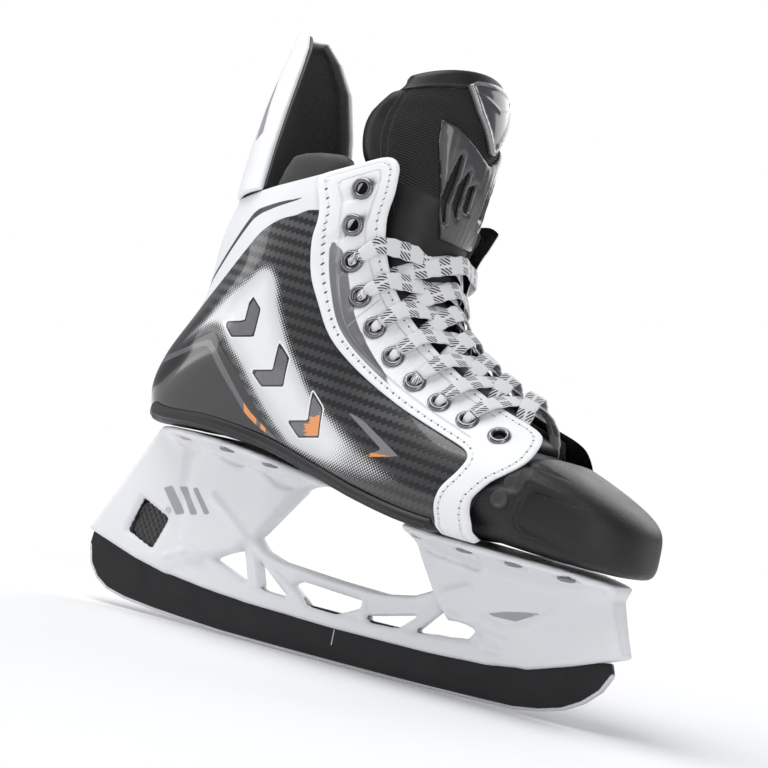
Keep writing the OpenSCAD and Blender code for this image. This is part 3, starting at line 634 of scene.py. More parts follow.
# ---- Liner, footbed and collar -------------------------------------------
# Foam liner faced with brushed microfibre, glued inside the shell; a moulded footbed lies in
# it, and a soft rolled pad closes the collar above the shell's rim.
s, v = grid(edge_steps(1.1, 11.4, 80), edge_steps(5.7, -5.7, 110))
face = boot_at(s, v, -3.4)
rim = to_rim(face)
quilt = 0.5 * np.cos(np.pi * s) ** 8 * smooth((s - 7) / 2)
points, faces = walled(face, boot_at(s, v, -3.5 - 3.5 * rounded(rim, 3) + quilt))
f = liner_finish = Finish("liner_microfibre", (0.03, 0.03, 0.031), 0.85, Sheen_Weight=0.35,
                          Sheen_Roughness=0.5)
nap = f.noise(1300, 3)
f.set("Base Color", f.mix(nap, (0.018, 0.018, 0.019), (0.045, 0.045, 0.047)))
f.bump((nap, 0.12), (f.noise(120, 3), 0.2))
liner = make_piece("liner_padding", points, faces, liner_finish, "boot", ("liner",), "liner")

s, v = grid(edge_steps(1.3, 7, 60), edge_steps(1.2, -1.2, 30))
face = boot_at(s, v, -7.3)
rim = to_rim(face)
points, faces = walled(face, boot_at(s, v, -7.4 - 2.9 * rounded(rim, 2.5)))
f = footbed_finish = Finish("footbed_knit", (0.09, 0.09, 0.095), 0.8, Sheen_Weight=0.2)
knit = f.cells(900.0)
f.set("Base Color", f.mix(knit, (0.05, 0.05, 0.055), (0.14, 0.14, 0.15)))
f.bump((knit, 0.15))
make_piece("footbed_insert", points, faces, footbed_finish, "boot", ("footbed",), "footbed")

count, around = 110, 28
v = steps(EDGE - 0.8, 0.8 - EDGE, count)
rim_line, inner_line = boot_at(COLLAR, v, -2.9), boot_at(COLLAR, v, -9.6)
inward = inner_line - rim_line
inward /= np.linalg.norm(inward, axis=-1, keepdims=True)
opened = smooth((rim_line[:, 0] + 57) / 9)
top_z = 229 + np.minimum(0, rim_line[:, 0] + 34) * 0.1
top = rim_line[:, 2] + (np.minimum(top_z, rim_line[:, 2] + 16) - rim_line[:, 2]) * opened - 1
low = rim_line[:, 2] - 7
turn = circle(around)
ends = rounded(np.minimum(np.arange(count), count - 1 - np.arange(count)) * 1.2, 4, 0.05)
swell = 3.3 * ends[:, None] * (1 + 0.03 * np.sin(v * 9)[:, None])
middle = np.stack([rim_line[:, 0], rim_line[:, 1], (top + low) / 2], -1) + inward * 3.3
tall = ((top - low) / 2 * ends)[:, None] * np.sign(np.sin(turn)) * np.abs(np.sin(turn)) ** 0.8
pad = (middle[:, None] + inward[:, None] * (swell * np.cos(turn))[..., None]
       + np.array([0, 0, 1]) * tall[..., None])
f = collar_finish = Finish("collar_soft_grain", (0.016, 0.016, 0.017), 0.55, Sheen_Weight=0.25,
                           Sheen_Roughness=0.4)
cells = f.cells(1100.0)
f.set("Base Color", f.mix(f.noise(90, 4), (0.011, 0.011, 0.012), (0.022, 0.022, 0.023)))
f.set("Roughness", 0.45 + f.noise(160, 3) * 0.2)
f.bump((cells, 0.06), (f.noise(60, 3), 0.35))
collar_pad = make_piece("collar_pad", pad, tube_faces(count, around), collar_finish, "boot",
                        ("collar_roll",), "collar")


# ---- Facings -------------------------------------------------------------
# White synthetic leather, one piece a side: it carries the eyelets, and its strap runs down
# over the joint between shell and toe cap. Punched stitching follows the edge, a grey
# moulded sliver lies along the lower border, and fine ribs are pressed in round the eyelets.
FACING_Q = np.array([1.2, 1.2, 1.15, 1.18, 1.21, 1.17, 1, 0.87, 0.84, 0.9, 1, 1.12, 1.22])
FACING_IN, FACING_THICK, FACING_OUT = 0.3, 2.2, 2.5
STRAP_REAR = [[1.5, 1.19], [1.38, 1.3], [1.41, 1.7], [1.52, 2.17], [1.5, 2.55], [1.35, 3.1],
              [1.27, 4], [1.25, 4.9]]
STRAP_FRONT = [[0.6, 4.9], [0.56, 4.2], [0.69, 3], [0.84, 2.53], [0.9, 2.2], [0.77, 1.65],
               [0.5, 1.16], [0.4, 0.84], [0.47, 0.47], [0.62, 0.15], [0.9, 0.0]]
EYELETS = np.array([[10.3, 0.5], [8.3, 0.44], [6.4, 0.48], [5.35, 0.54], [4.5, 0.59],
                    [3.75, 0.65], [3.1, 0.68], [2.5, 0.68], [1.9, 0.64], [1.25, 0.59]])
s_line = steps(0, COLLAR, 400)
s_run = lengths(boot_at(s_line, -EDGE + 0.5)[:, None], 0)[:, 0]
Q_UNIT = 21


def lay_flat(sq):
    """Stations and depths to millimetres on a flat cut of the facing."""
    return np.stack([np.interp(sq[..., 0], s_line, s_run), sq[..., 1] * Q_UNIT], -1)


def pick_up(flat):
    """The way back, from the flat cut to stations and depths."""
    return np.stack([np.interp(flat[..., 0], s_run, s_line), flat[..., 1] / Q_UNIT], -1)


def resample(line, pitch, closed=True):
    """Points along a line at an even pitch, as near as its length allows."""
    line = np.concatenate([line, line[:1]]) if closed else line
    run = np.concatenate([[0], np.cumsum(np.linalg.norm(np.diff(line, axis=0), axis=1))])
    count = max(3, int(round(run[-1] / pitch)))
    t = np.arange(count + (0 if closed else 1)) * run[-1] / count
    return np.stack([np.interp(t, run, line[:, k]) for k in range(line.shape[1])], 1)


def inset(loop, by):
    """Closed loop moved to its left by a distance, pitch by pitch."""
    way = np.roll(loop, -1, 0) - np.roll(loop, 1, 0)
    way /= np.linalg.norm(way, axis=1, keepdims=True)
    return loop + by * np.stack([-way[:, 1], way[:, 0]], 1)


def boot_normal(s, v):
    d = 0.02
    n = np.cross(boot_at(s + d, v) - boot_at(s - d, v), boot_at(s, v + d) - boot_at(s, v - d))
    return n / np.linalg.norm(n, axis=-1, keepdims=True)


NO_SLOT = 99.0          # distance from a slot where a plate has none


def way_in(outline):
    """Sign that makes inset move a closed outline inwards."""
    return 1 if inside(inset(outline, 1.0), outline).mean() > 0 else -1


def filled(outline, holes, gap_to, pitch, rims, clear, row_off=(0, 0), hole_off=0.6):
    """Triangles inside a closed outline and outside its holes. gap_to gives the clearance of
    points from the nearest hole. rims are distances in from the outline of extra rows of points,
    kept when further than row_off from the outline and the holes. A lattice fills the rest,
    further in than clear and off the holes by hole_off. Gives the points, the triangles, the
    open borders and the points' distance in from the outline."""
    loops = [outline, *holes]
    starts = np.cumsum([0] + [len(loop) for loop in loops])
    fixed = [np.stack([np.arange(len(loop)), np.roll(np.arange(len(loop)), -1)], 1) + start
             for loop, start in zip(loops, starts)]
    low, high = outline.min(0), outline.max(0)
    rows = np.concatenate([inset(outline, way_in(outline) * by) for by in rims])
    rows = rows[(inside(rows, outline) > row_off[0]) & (gap_to(rows) > row_off[1])]
    lattice = np.stack(np.meshgrid(np.arange(low[0], high[0], pitch),
                                   np.arange(low[1], high[1], pitch)), -1).reshape(-1, 2)
    lattice = lattice[(inside(lattice, outline) > clear) & (gap_to(lattice) > hole_off)]
    made = delaunay_2d_cdt(np.concatenate([*loops, rows, lattice]).tolist(),
                           np.concatenate(fixed).tolist(), [], 0, 1e-5)
    cut, tris = np.array([list(point) for point in made[0]]), np.array(made[2])
    middle = cut[tris].mean(1)
    tris = tris[(inside(middle, outline) > 0) & (gap_from(holes)(middle) > 0)]
    sides_of = np.concatenate([tris[:, [0, 1]], tris[:, [1, 2]], tris[:, [2, 0]]])
    _, first, uses = np.unique(np.sort(sides_of, 1) @ [len(cut) * 2, 1], return_index=True,
                               return_counts=True)
    return cut, tris, sides_of[first[uses == 1]], inside(cut, outline)


def gap_from(slots):
    """Function that gives points' distance from the nearest slot."""
    return lambda points: np.min([-inside(points, slot) for slot in slots]
                                 + [np.full(len(points), NO_SLOT)], 0)


def plate_faces(tris, border, count):
    """Faces of a plate from its flat triangles: front, back and the walls round its edges.
    The back's points follow the front's."""
    walls = np.stack([border[:, 1], border[:, 0], count + border[:, 0], count + border[:, 1]],
                     -1)
    return [tris, count + tris[:, ::-1], walls]


s_edge = steps(1.1, 10.9, 60)
corner = np.radians(steps(0, 90, 9))[1:]
top_corner = np.stack([10.95 + np.sin(corner), 0.3 * (1 - np.cos(corner))], 1)
s_low = steps(11.95, 1.7, 60)
outline = np.concatenate([
    np.stack([s_edge, s_edge * 0], 1), top_corner, [[11.95, 0.8]],
    np.stack([s_low, along(FACING_Q, s_low)], 1), STRAP_REAR, STRAP_FRONT])
outline = resample(lay_flat(outline), 1.1)
for _ in range(8):
    outline = (np.roll(outline, 1, 0) + 2 * outline + np.roll(outline, -1, 0)) / 4
d = 0.02
per_s = np.linalg.norm(boot_at(EYELETS[:, 0] + d, EYELETS[:, 1] - EDGE)
                       - boot_at(EYELETS[:, 0] - d, EYELETS[:, 1] - EDGE), axis=1) / 2 / d
per_q = np.linalg.norm(boot_at(EYELETS[:, 0], EYELETS[:, 1] + d - EDGE)
                       - boot_at(EYELETS[:, 0], EYELETS[:, 1] - d - EDGE), axis=1) / 2 / d
turn = circle(28)
HOLE_R = 3.4
holes = [lay_flat(np.stack([k[0] + HOLE_R * np.cos(turn) / a, k[1] + HOLE_R * np.sin(turn) / b],
                           1)) for k, a, b in zip(EYELETS, per_s, per_q)]


def gap_to_eyelet(points):
    """Distance from the rim of the nearest eyelet hole."""
    return np.min([np.linalg.norm(points - hole.mean(0), axis=1) for hole in holes], 0) - HOLE_R


cut, triangles, border, edge_in = filled(outline, holes, gap_to_eyelet, 1.6, (0.25, 0.7, 1.3),
                                         1.9, (0.1, 1), 1)
hole_in = gap_to_eyelet(cut)
sq = pick_up(cut)


def run_along(points, loop):
    """Length along a closed loop at the place on it that is nearest to each point."""
    a, b = loop, np.roll(loop, -1, 0)
    size = np.linalg.norm(b - a, axis=1)
    start = np.concatenate([[0], np.cumsum(size)[:-1]])
    best, run = np.full(len(points), 1e9), np.zeros(len(points))
    for p, q, length, at in zip(a, b, size, start):
        t = np.clip((points - p) @ (q - p) / max(length ** 2, 1e-9), 0, 1)
        gap_to = np.linalg.norm(points - p - t[:, None] * (q - p), axis=1)
        run = np.where(gap_to < best, at + t * length, run)
        best = np.minimum(best, gap_to)
    return run


edge_run = run_along(cut, outline)
lens = 5.2 * np.clip(1 - (np.abs(sq[:, 0] - 5.1) / np.where(sq[:, 0] > 5.1, 3.1, 2.0)) ** 1.6,
                     -1, 1)
lens_in = np.minimum(np.minimum(edge_in - 4.3, 4.3 + lens - edge_in),
                     (sq[:, 1] - 0.5 * along(FACING_Q, sq[:, 0])) * Q_UNIT)
f = facing_finish = Finish("facing_leather", (0.84, 0.855, 0.87), 0.42, Coat_Weight=0.12,
                           Coat_Roughness=0.35)
edge, run, station = f.drawn("edge"), f.drawn("run"), f.drawn("station")
PUNCH, SEAM_IN = 3.7, 3.0
along_seam = ((run / PUNCH).math("FRACT") - 0.5) * PUNCH
punch = (along_seam * along_seam + (edge - SEAM_IN) * (edge - SEAM_IN)).math("SQRT")
dot = punch.rise(0.5, 0.32) * (station < 11.4)
insert = f.drawn("insert")
creases = f.noise(45, 6)
body_colour = f.mix(creases, (0.8, 0.815, 0.835), (0.86, 0.87, 0.885))
colour = f.mix(insert.rise(-0.1, 0.1), body_colour,
               f.mix((f.xyz()[2] - 150).rise(-25, 25), (0.14, 0.14, 0.15), (0.26, 0.26, 0.27)))
colour = f.mix(dot, colour, (0.1, 0.1, 0.11))
rib_part = station.rise(2.7, 2.95) * station.rise(4.95, 4.9) * edge.rise(6.2, 7)
ribs = (station * 17.5).math("FRACT").math("PINGPONG", 0.5)
seam = (station - 4.97).math("ABSOLUTE").rise(0.03, 0.0) * edge.rise(6.2, 7)
panel = (edge - 6.1).math("ABSOLUTE").rise(0.45, 0.0) * (station > 1.6)
seam_line = (edge - SEAM_IN).math("ABSOLUTE").rise(0.8, 0.0)
colour = f.mix(panel * 0.22 + seam * 0.3, colour, (0.35, 0.36, 0.38))
within = f.drawn("within").rise(0.4, 0.9)
f.set("Base Color", f.mix(within, colour, (0.012, 0.012, 0.013)))
f.set("Roughness", 0.4 + creases * 0.12 - insert.rise(0, 0.3) * 0.12)
f.set("Metallic", insert.rise(-0.1, 0.1) * 0.45)
f.bump((1 - panel, 0.35), (1 - seam, 0.3), (ribs * rib_part, 0.22), (1 - seam_line, 0.18),
       (1 - dot, 0.4), (f.noise(1400, 2), 0.02), (insert.rise(1.2, -0.2), 0.35))
THREAD = 0.26


def thread_bars(name, at, way, normal, length, finish, slot, body):
    """Short sewn threads: a spindle of five rings of six at each place, half sunk."""
    ring = np.arange(6) * np.pi / 3
    profile = [[-0.5, 0.2], [-0.42, 0.85], [0, 1.0], [0.42, 0.85], [0.5, 0.2]]
    bar = np.array([[t, r * np.cos(a), r * np.sin(a)] for t, r in profile for a in ring])
    side = np.cross(normal, way)
    sunk = 0.25 - 1.1 * (2 * np.abs(bar[:, 0])) ** 2
    points = (at[:, None] + way[:, None] * (bar[None, :, :1] * length)
              + side[:, None] * (bar[None, :, 1:2] * THREAD)
              + normal[:, None] * (bar[None, :, 2:] * THREAD + sunk[None, :, None] * THREAD))
    start = np.arange(len(at))[:, None, None] * len(bar)
    quads = net(5, 6, 0, True)
    faces = [(start + quads).reshape(-1, 4), (start[:, 0] + np.arange(6))[:, ::-1],
             start[:, 0] + 24 + np.arange(6)]
    return make_piece(name, points, faces, finish, body, (), slot)


thread_finish = Finish("white_thread", (0.8, 0.81, 0.82), 0.6, Sheen_Weight=0.2)
f = thread_finish
twist = f.node("TexWave", named={"Vector": f.place(), "Scale": 700.0, "Distortion": 1.0})
f.set("Base Color", f.mix(twist, (0.7, 0.71, 0.72), (0.85, 0.86, 0.87)))
f.bump((twist, 0.05))
sewn = resample(inset(outline, way_in(outline) * SEAM_IN), PUNCH / 8)
sewn_run = run_along(sewn, outline)
at_middle = np.mod(sewn_run / PUNCH, 1)
at_middle = np.minimum(at_middle, 1 - at_middle)
keep = (at_middle <= np.roll(at_middle, 1)) & (at_middle < np.roll(at_middle, -1))
sewn_way = np.roll(sewn, -1, 0) - np.roll(sewn, 1, 0)
sewn, sewn_way = sewn[keep], sewn_way[keep] / np.linalg.norm(sewn_way[keep], axis=1)[:, None]
sewn_sq = pick_up(sewn)
on_top = (sewn_sq[:, 0] < 11.4) & (sewn_sq[:, 1] < 4.4)
sewn, sewn_way, sewn_sq = sewn[on_top], sewn_way[on_top], sewn_sq[on_top]
ahead_sq = pick_up(sewn + sewn_way * 0.5)
for side, word in ((-1, "lateral"), (1, "medial")):
    depth = FACING_IN + FACING_THICK * rounded(np.minimum(edge_in, hole_in + 0.6), 1.3, 0.2)
    v = side * (EDGE - sq[:, 1])
    front, behind = boot_at(sq[:, 0], v, depth), boot_at(sq[:, 0], v, FACING_IN)
    make_piece(f"facing_{word}_leather", np.concatenate([front, behind]),
               plate_faces(triangles, border, len(cut)), facing_finish, "boot",
               (f"facing_{word}",), "facing",
               edge=np.tile(edge_in, 2), run=np.tile(edge_run, 2), station=np.tile(sq[:, 0], 2),
               insert=np.tile(lens_in, 2), within=np.repeat([0.0, 1.0], len(cut)))
    v = side * (EDGE - sewn_sq[:, 1])
    at = boot_at(sewn_sq[:, 0], v, FACING_OUT)
    way = boot_at(ahead_sq[:, 0], side * (EDGE - ahead_sq[:, 1]), FACING_OUT) - at
    way /= np.linalg.norm(way, axis=1, keepdims=True)
    normal = boot_normal(sewn_sq[:, 0], v)
    normal *= np.sign(normal[:, 1] * side)[:, None]
    thread_bars(f"facing_{word}_stitches", at, way, normal, 2.3, thread_finish, "facing", "boot")

# ---- Eyelets -------------------------------------------------------------
# Twenty rolled eyelets of gunmetal-plated brass, clinched through facing and shell.
eyelet_loop = [[2.7, -2.9], [2.7, 0.2], [2.78, 0.6], [3.05, 1.0], [3.5, 1.25], [4.0, 1.25],
               [4.45, 1.05], [4.8, 0.75], [5.05, 0.45], [5.2, 0.05], [5.05, -0.2], [3.3, -0.2],
               [3.3, -2.9]]
f = eyelet_finish = Finish("gunmetal", (0.2, 0.2, 0.21), 0.22, Metallic=1.0)
f.set("Base Color", f.mix(f.noise(400, 3), (0.16, 0.16, 0.17), (0.27, 0.27, 0.285)))
f.set("Roughness", 0.18 + f.noise(900, 3) * 0.16)
eyelet_places = {}
for side, word in ((-1, "lateral"), (1, "medial")):
    v = side * (EDGE - EYELETS[:, 1])
    at, way = boot_at(EYELETS[:, 0], v, FACING_OUT), boot_normal(EYELETS[:, 0], v)
    way *= np.sign(way[:, 1] * side)[:, None]
    eyelet_places[side] = (at, way)
    make_piece(f"eyelets_{word}_rolled", turned(eyelet_loop, at, way, 36),
               lathe_faces(10, len(eyelet_loop), 36, True), eyelet_finish, "boot",
               (f"eyelets_{word}",), "eyelet")

# ---- Tongue --------------------------------------------------------------
# Padded felt faced with ribbed textile, one piece from the toe to the top lip. A smooth bound lip
# closes the top, with two stitch rows.
TONGUE = [[93, 115.5, 15, 3], [75, 126, 17.5, 6], [54.5, 138.5, 20, 8], [37.5, 153, 23, 11],
          [27, 171, 26, 15], [26, 190, 29, 22], [29.5, 207, 31, 32], [32.5, 224, 33, 43],
          [34, 240, 35.5, 45], [34, 255, 36.5, 41], [32, 268, 34.5, 35], [28.5, 278, 30, 27]]
TONGUE_WALL, TONGUE_END = 6, 11


def tongue_at(u, v, off=0.0):
    """Tongue: spine(u) - normal (off + wrap (1 - cos 90v)), and y = half sin 90v."""
    u, v = np.broadcast_arrays(np.asarray(u, float), np.asarray(v, float))
    off = np.broadcast_to(np.asarray(off, float), u.shape)
    k = along(TONGUE, u)
    t = along(TONGUE, np.clip(u + 0.02, 0, TONGUE_END))[..., :2] - along(
        TONGUE, np.clip(u - 0.02, 0, TONGUE_END))[..., :2]
    t = t / np.linalg.norm(t, axis=-1, keepdims=True)
    bend = np.pi / 2 * v
    drop = off + k[..., 3] * (1 - np.cos(bend))
    return np.stack([k[..., 0] - t[..., 1] * drop, (k[..., 2] - 0.85 * off) * np.sin(bend),
                     k[..., 1] + t[..., 0] * drop], -1)


u, v = grid(edge_steps(0, TONGUE_END, 230, 1.3), steps(-1, 1, 150))
plain = tongue_at(u, v)
rim = to_rim(plain)
lip = smooth((u - 10.05) / 0.12)
lip_line = np.exp(-((u - 10.08) / 0.035) ** 2)
side_seam = np.exp(-((np.abs(v) - 0.86) / 0.012) ** 2) * (u < 10.1) * (u > 5.6)
swell = (0.9 * lip - 0.7 * lip_line - 0.5 * side_seam
         - 1.9 * (1 - rounded(rim, 3.2, 0)) + 0.25 * np.sin(u * 5.1) * np.cos(v * 4))
tongue_mesh = walled(tongue_at(u, v, -swell), tongue_at(u, v, TONGUE_WALL
                     - 1.9 * (1 - rounded(rim, 3.2, 0))))
f = tongue_finish = Finish("tongue_textile", (0.006, 0.006, 0.007), 0.55, Specular_IOR_Level=0.35)
up, across_v = f.drawn("up"), f.drawn("over")
knit = f.cells(1500.0)
ribs = ((up - across_v * 0.5) * 12).math("FRACT").math("PINGPONG", 0.5)
textile = up.rise(6.4, 6.5) * up.rise(10.15, 10.05) * across_v.rise(0.87, 0.85)
stitch = ((up * 62).math("FRACT") - 0.5).math("ABSOLUTE").rise(0.36, 0.26)
rows_of = ((across_v - 0.835).math("ABSOLUTE").rise(0.009, 0.004)
           + (across_v - 0.885).math("ABSOLUTE").rise(0.009, 0.004))
sewn_side = rows_of * stitch * up.rise(5.6, 5.7) * up.rise(10.1, 10.0)
over_lip = ((across_v * 46).math("FRACT") - 0.5).math("ABSOLUTE").rise(0.36, 0.26)
lip_rows = ((up - 10.18).math("ABSOLUTE").rise(0.028, 0.012)
            + (up - 10.0).math("ABSOLUTE").rise(0.028, 0.012)) * over_lip
thread = (sewn_side + lip_rows).math("MINIMUM", 1.0)
colour = f.mix(textile, f.mix(f.noise(120, 4), (0.005, 0.005, 0.006), (0.012, 0.012, 0.013)),
               f.mix(ribs * 2, (0.003, 0.003, 0.003), (0.03, 0.03, 0.032)))
f.set("Base Color", f.mix(thread, colour, (0.075, 0.075, 0.08)))
f.set("Roughness", 0.4 + textile * 0.28 + f.noise(90, 3) * 0.1)
f.bump((knit * textile, 0.1), (ribs * textile, 0.9), (thread, 0.3),
       (f.noise(700, 3) * (1 - textile), 0.08), (f.noise(40, 2), 0.5))
tongue = make_piece("tongue_padded", *tongue_mesh, tongue_finish, None,
                    ("tongue_lower", "tongue_upper"), "felt",
                    up=np.tile(u.ravel(), 2), over=np.tile(np.abs(v).ravel(), 2))
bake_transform(tongue)


# ---- Tongue insert and badge ---------------------------------------------
# A moulded, glossy grey stiffener with slots between its ribs, and a framed shield badge
# above it; both are sewn to the face of the tongue.
TONGUE_UNIT = np.array([14.5, 52.0])     # millimetres for one step of u and of v


def tongue_plate(name, outline, thickness, sunk, finish, node, slot, radius, relief=None,
                 flames=()):
    """Plate on the tongue from an outline of u and v, domed at its edge, with slots cut."""
    flat = resample(np.array(outline) * TONGUE_UNIT, 0.9)
    slots = [resample(np.array(k) * TONGUE_UNIT, 0.6) for k in flames]
    gap_to = gap_from(slots)
    cut, tris, border, edge = filled(flat, slots, gap_to, 0.9, (0.3, 0.8), 1.2)
    edge = np.minimum(edge, gap_to(cut))
    u, v = (cut / TONGUE_UNIT).T
    height = thickness * rounded(edge, radius, 0.25)
    height += relief(u, v, edge) if relief else 0
    return make_piece(name, np.concatenate([tongue_at(u, v, sunk - height),
                      tongue_at(u, v, sunk)]), plate_faces(tris, border, len(cut)), finish,
                      "tongue_top", (node,), slot, edge=np.tile(edge, 2))


def insert_relief(u, v, edge):
    ribs = np.abs(np.mod(np.abs(v) * 14, 1) - 0.5)
    return 0.45 * ribs * smooth((edge - 1) / 1.5)


INSERT = [[5.45, 0.3], [5.45, -0.3], [6, -0.38], [7, -0.44], [8, -0.5], [8.7, -0.52],
          [8.6, -0.4], [7.95, -0.1], [7.8, 0], [7.95, 0.1], [8.6, 0.4], [8.7, 0.52],
          [8, 0.5], [7, 0.44], [6, 0.38]]
flames = []
for side in (-1, 1):
    for start, middle, size in ((0.36, 0.28, 1.9), (0.24, 0.18, 1.5), (0.12, 0.08, 1.2)):
        path = np.array([[5.9 + (0.36 - start) * 2, side * start * 0.9],
                         [6.4, side * (start + 0.015)], [7.0, side * (middle + 0.06)],
                         [5.9 + size, side * (middle + 0.03)]])
        width = np.array([[0, 0.008], [0, 0.028], [0, 0.026], [0, 0.004]])
        flames.append(np.concatenate([path + width, (path - width)[::-1]]))
f = insert_finish = Finish("tongue_trim_gloss", (0.06, 0.06, 0.063), 0.2, Coat_Weight=0.5,
                           Coat_Roughness=0.08)
f.set("Base Color", f.mix(f.drawn("edge").rise(0.2, 1.4), (0.03, 0.03, 0.032),
                          f.mix(f.noise(35, 3), (0.03, 0.03, 0.032), (0.075, 0.075, 0.08))))
f.set("Roughness", 0.16 + f.noise(200, 3) * 0.12)
f.bump((f.noise(900, 2), 0.02))
tongue_plate("tongue_rib_insert_moulded", INSERT, 1.9, -0.2, insert_finish, "tongue_rib_insert",
             "tongue_trim", 1.6, insert_relief, flames)


def badge_relief(u, v, edge):
    """Raised frame round a shield, and a plain raised chevron in its middle."""
    frame_of = np.exp(-((edge - 1.5) / 0.8) ** 2)
    chevron = np.exp(-((u - 9.5 - np.abs(v) * 1.4) / 0.07) ** 2) * (edge > 3)
    return 0.6 * frame_of + 0.6 * chevron - 0.3 * (edge > 3)


f = badge_finish = Finish("badge_gloss", (0.09, 0.09, 0.095), 0.18, Coat_Weight=0.8,
                          Coat_Roughness=0.06)
edge = f.drawn("edge")
frame_line = edge.rise(0.3, 0.6) * edge.rise(3.0, 2.6)
f.set("Base Color", f.mix(frame_line, f.mix(f.noise(50, 3), (0.02, 0.02, 0.022),
                                            (0.07, 0.07, 0.074)), (0.26, 0.26, 0.27)))
f.set("Metallic", frame_line * 0.6)
f.set("Roughness", 0.15 + f.noise(300, 3) * 0.1)
f.bump((f.noise(1200, 2), 0.01))
tongue_plate("tongue_shield_badge", [[8.1, 0.03], [8.1, -0.03], [9.2, -0.25], [10.2, -0.38],
             [10.42, -0.3], [10.48, 0], [10.42, 0.3], [10.2, 0.38], [9.2, 0.25]], 2.1, -0.1,
             badge_finish, "tongue_badge", "badge", 1.4, badge_relief)

# ---- Lace ----------------------------------------------------------------
# One flat woven lace, white with black fleck bands. Each half runs up the throat through
# every other eyelet, crosses over the tongue, and bunches where it dives under the facing.
LACE_LIFT = [0, 0, 13.5, 10.5, 8.5, 7.5, 7, 7, 7]     # of each leg off the throat, in mm
LACE_SIDES = 16
f = lace_finish = Finish("lace_weave", (0.8, 0.81, 0.83), 0.65, Sheen_Weight=0.25)
run, side_of = f.drawn("run"), f.drawn("side")
group = (run * (1 / 13)).math("FRACT")
fleck_part = group.rise(0.5, 0.54) * group.rise(0.98, 0.94)
ply = (run * (1 / 2.2) + side_of * 2.4).math("FRACT")
tracer = (side_of.math("ABSOLUTE") - 0.55).math("ABSOLUTE").rise(0.42, 0.36)
fleck = fleck_part * tracer * (ply - 0.5).math("ABSOLUTE").rise(0.32, 0.24)
weave = ((run * (1 / 0.55) + side_of.math("ABSOLUTE") * 2.4).math("FRACT") - 0.5).math(
    "ABSOLUTE")
f.set("Base Color", f.mix(fleck, f.mix(weave, (0.66, 0.67, 0.69), (0.86, 0.87, 0.88)),
                          (0.03, 0.03, 0.032)))
f.bump((weave, 0.16), (f.noise(2000, 2), 0.03))


def unit_of(vector):
    return vector / np.linalg.norm(vector, axis=-1, keepdims=True)


def throat_middle(k, strand):
    """Where a leg crosses the middle of the tongue, and the way out of the throat there."""
    s = (EYELETS[k, 0] + EYELETS[k + 1, 0]) / 2
    low, high = boot_at(s, -EDGE), boot_at(s, EDGE)
    along_edge = boot_at(s + 0.1, -EDGE) - boot_at(s - 0.1, -EDGE)
    t = unit_of(along_edge[[0, 2]])
    out = np.array([t[1], 0, -t[0]])
    lift = LACE_LIFT[k] + (0 if (k + strand) % 2 == 0 else 3.6)
    middle = (low + high) / 2
    middle[1] = 0
    return middle + out * lift, out


def leg_route(k, strand):
    """Points of one leg, from behind eyelet k on one side to eyelet k + 1 on the other, the
    lace's outward way and its half width and half thickness at each."""
    side = -1 if (strand + k) % 2 == 0 else 1
    p, n = eyelet_places[side][0][k], eyelet_places[side][1][k]
    q, m = eyelet_places[-side][0][k + 1], eyelet_places[-side][1][k + 1]
    middle, out = throat_middle(k, strand)
    rim = boot_at(EYELETS[k + 1, 0], -side * EDGE, FACING_OUT)
    s_over = 0.75 * EYELETS[k, 0] + 0.25 * EYELETS[k + 1, 0]
    over = boot_at(s_over, side * EDGE, FACING_OUT) + 1.9 * n
    points = [p - 6 * n, p + 0.4 * n, (p + over) / 2 + 2.4 * n, over,
              (over + middle) / 2 + 0.8 * out, middle, (middle + rim) / 2 + 0.5 * m,
              rim - 4.6 * m, q - 6 * m]
    ways = [middle - p, middle - p, n, 0.7 * n + 0.3 * out, 0.3 * n + 0.7 * out, out,
            0.4 * m + 0.6 * out, m, m]
    return (np.array(points), unit_of(np.array(ways)),
            np.array([1.6, 2.0, 3.3, 4.0, 4.2, 4.2, 4.0, 3.2, 1.8]),
            np.array([1.4, 1.3, 0.8, 0.6, 0.6, 0.55, 0.6, 0.7, 1.4]))


for strand, word in ((0, "a"), (1, "b")):
    legs = zip(*(leg_route(k, strand) for k in range(2, 9)))
    points, ways, wide, thick = (np.concatenate(part) for part in legs)
    at = steps(0, len(points) - 1, 14 * len(points))
    line, way = along(points, at), along(ways, at)
    wide, thick = (along(np.stack([wide, thick], 1), at).T)
    thick = np.maximum(thick, 0.5)
    heading = unit_of(np.gradient(line, axis=0))
    way = unit_of(way - heading * np.sum(way * heading, 1, keepdims=True))
    over = np.cross(way, heading)
    length = np.concatenate([[0], np.cumsum(np.linalg.norm(np.diff(line, axis=0), axis=1))])
    turn = circle(LACE_SIDES)
    flat_x = np.sign(np.cos(turn)) * np.abs(np.cos(turn)) ** 0.7
    flat_z = np.sign(np.sin(turn)) * np.abs(np.sin(turn)) ** 0.6
    ripple = 1 + 0.05 * np.sin(length * 0.9)[:, None]
    tube = (line[:, None] + over[:, None] * (wide[:, None] * flat_x * ripple)[..., None]
            + way[:, None] * (thick[:, None] * flat_z)[..., None])
    n = len(line)
    make_piece(f"lace_strand_{word}_woven", tube, tube_faces(n, LACE_SIDES), lace_finish,
               "boot", (f"lace_strand_{word}",), "lace",
               run=np.repeat(length, LACE_SIDES), side=np.tile(flat_x, n))

# ---- Tendon guard --------------------------------------------------------
# A tall moulded flap behind the ankle, pale outside with a thin grey slot, lined with black
# foam that rolls over its edge. It flexes back at its root.
GUARD = np.array([[195, -90, -61, 38.5], [208, -90, -61, 38.5], [230, -89, -61, 35.5],
                  [250, -87, -61.5, 31], [270, -84.5, -63, 24.5], [283, -83.5, -67, 17],
                  [300, -83, -78, 4]])
GUARD_TOP = 292


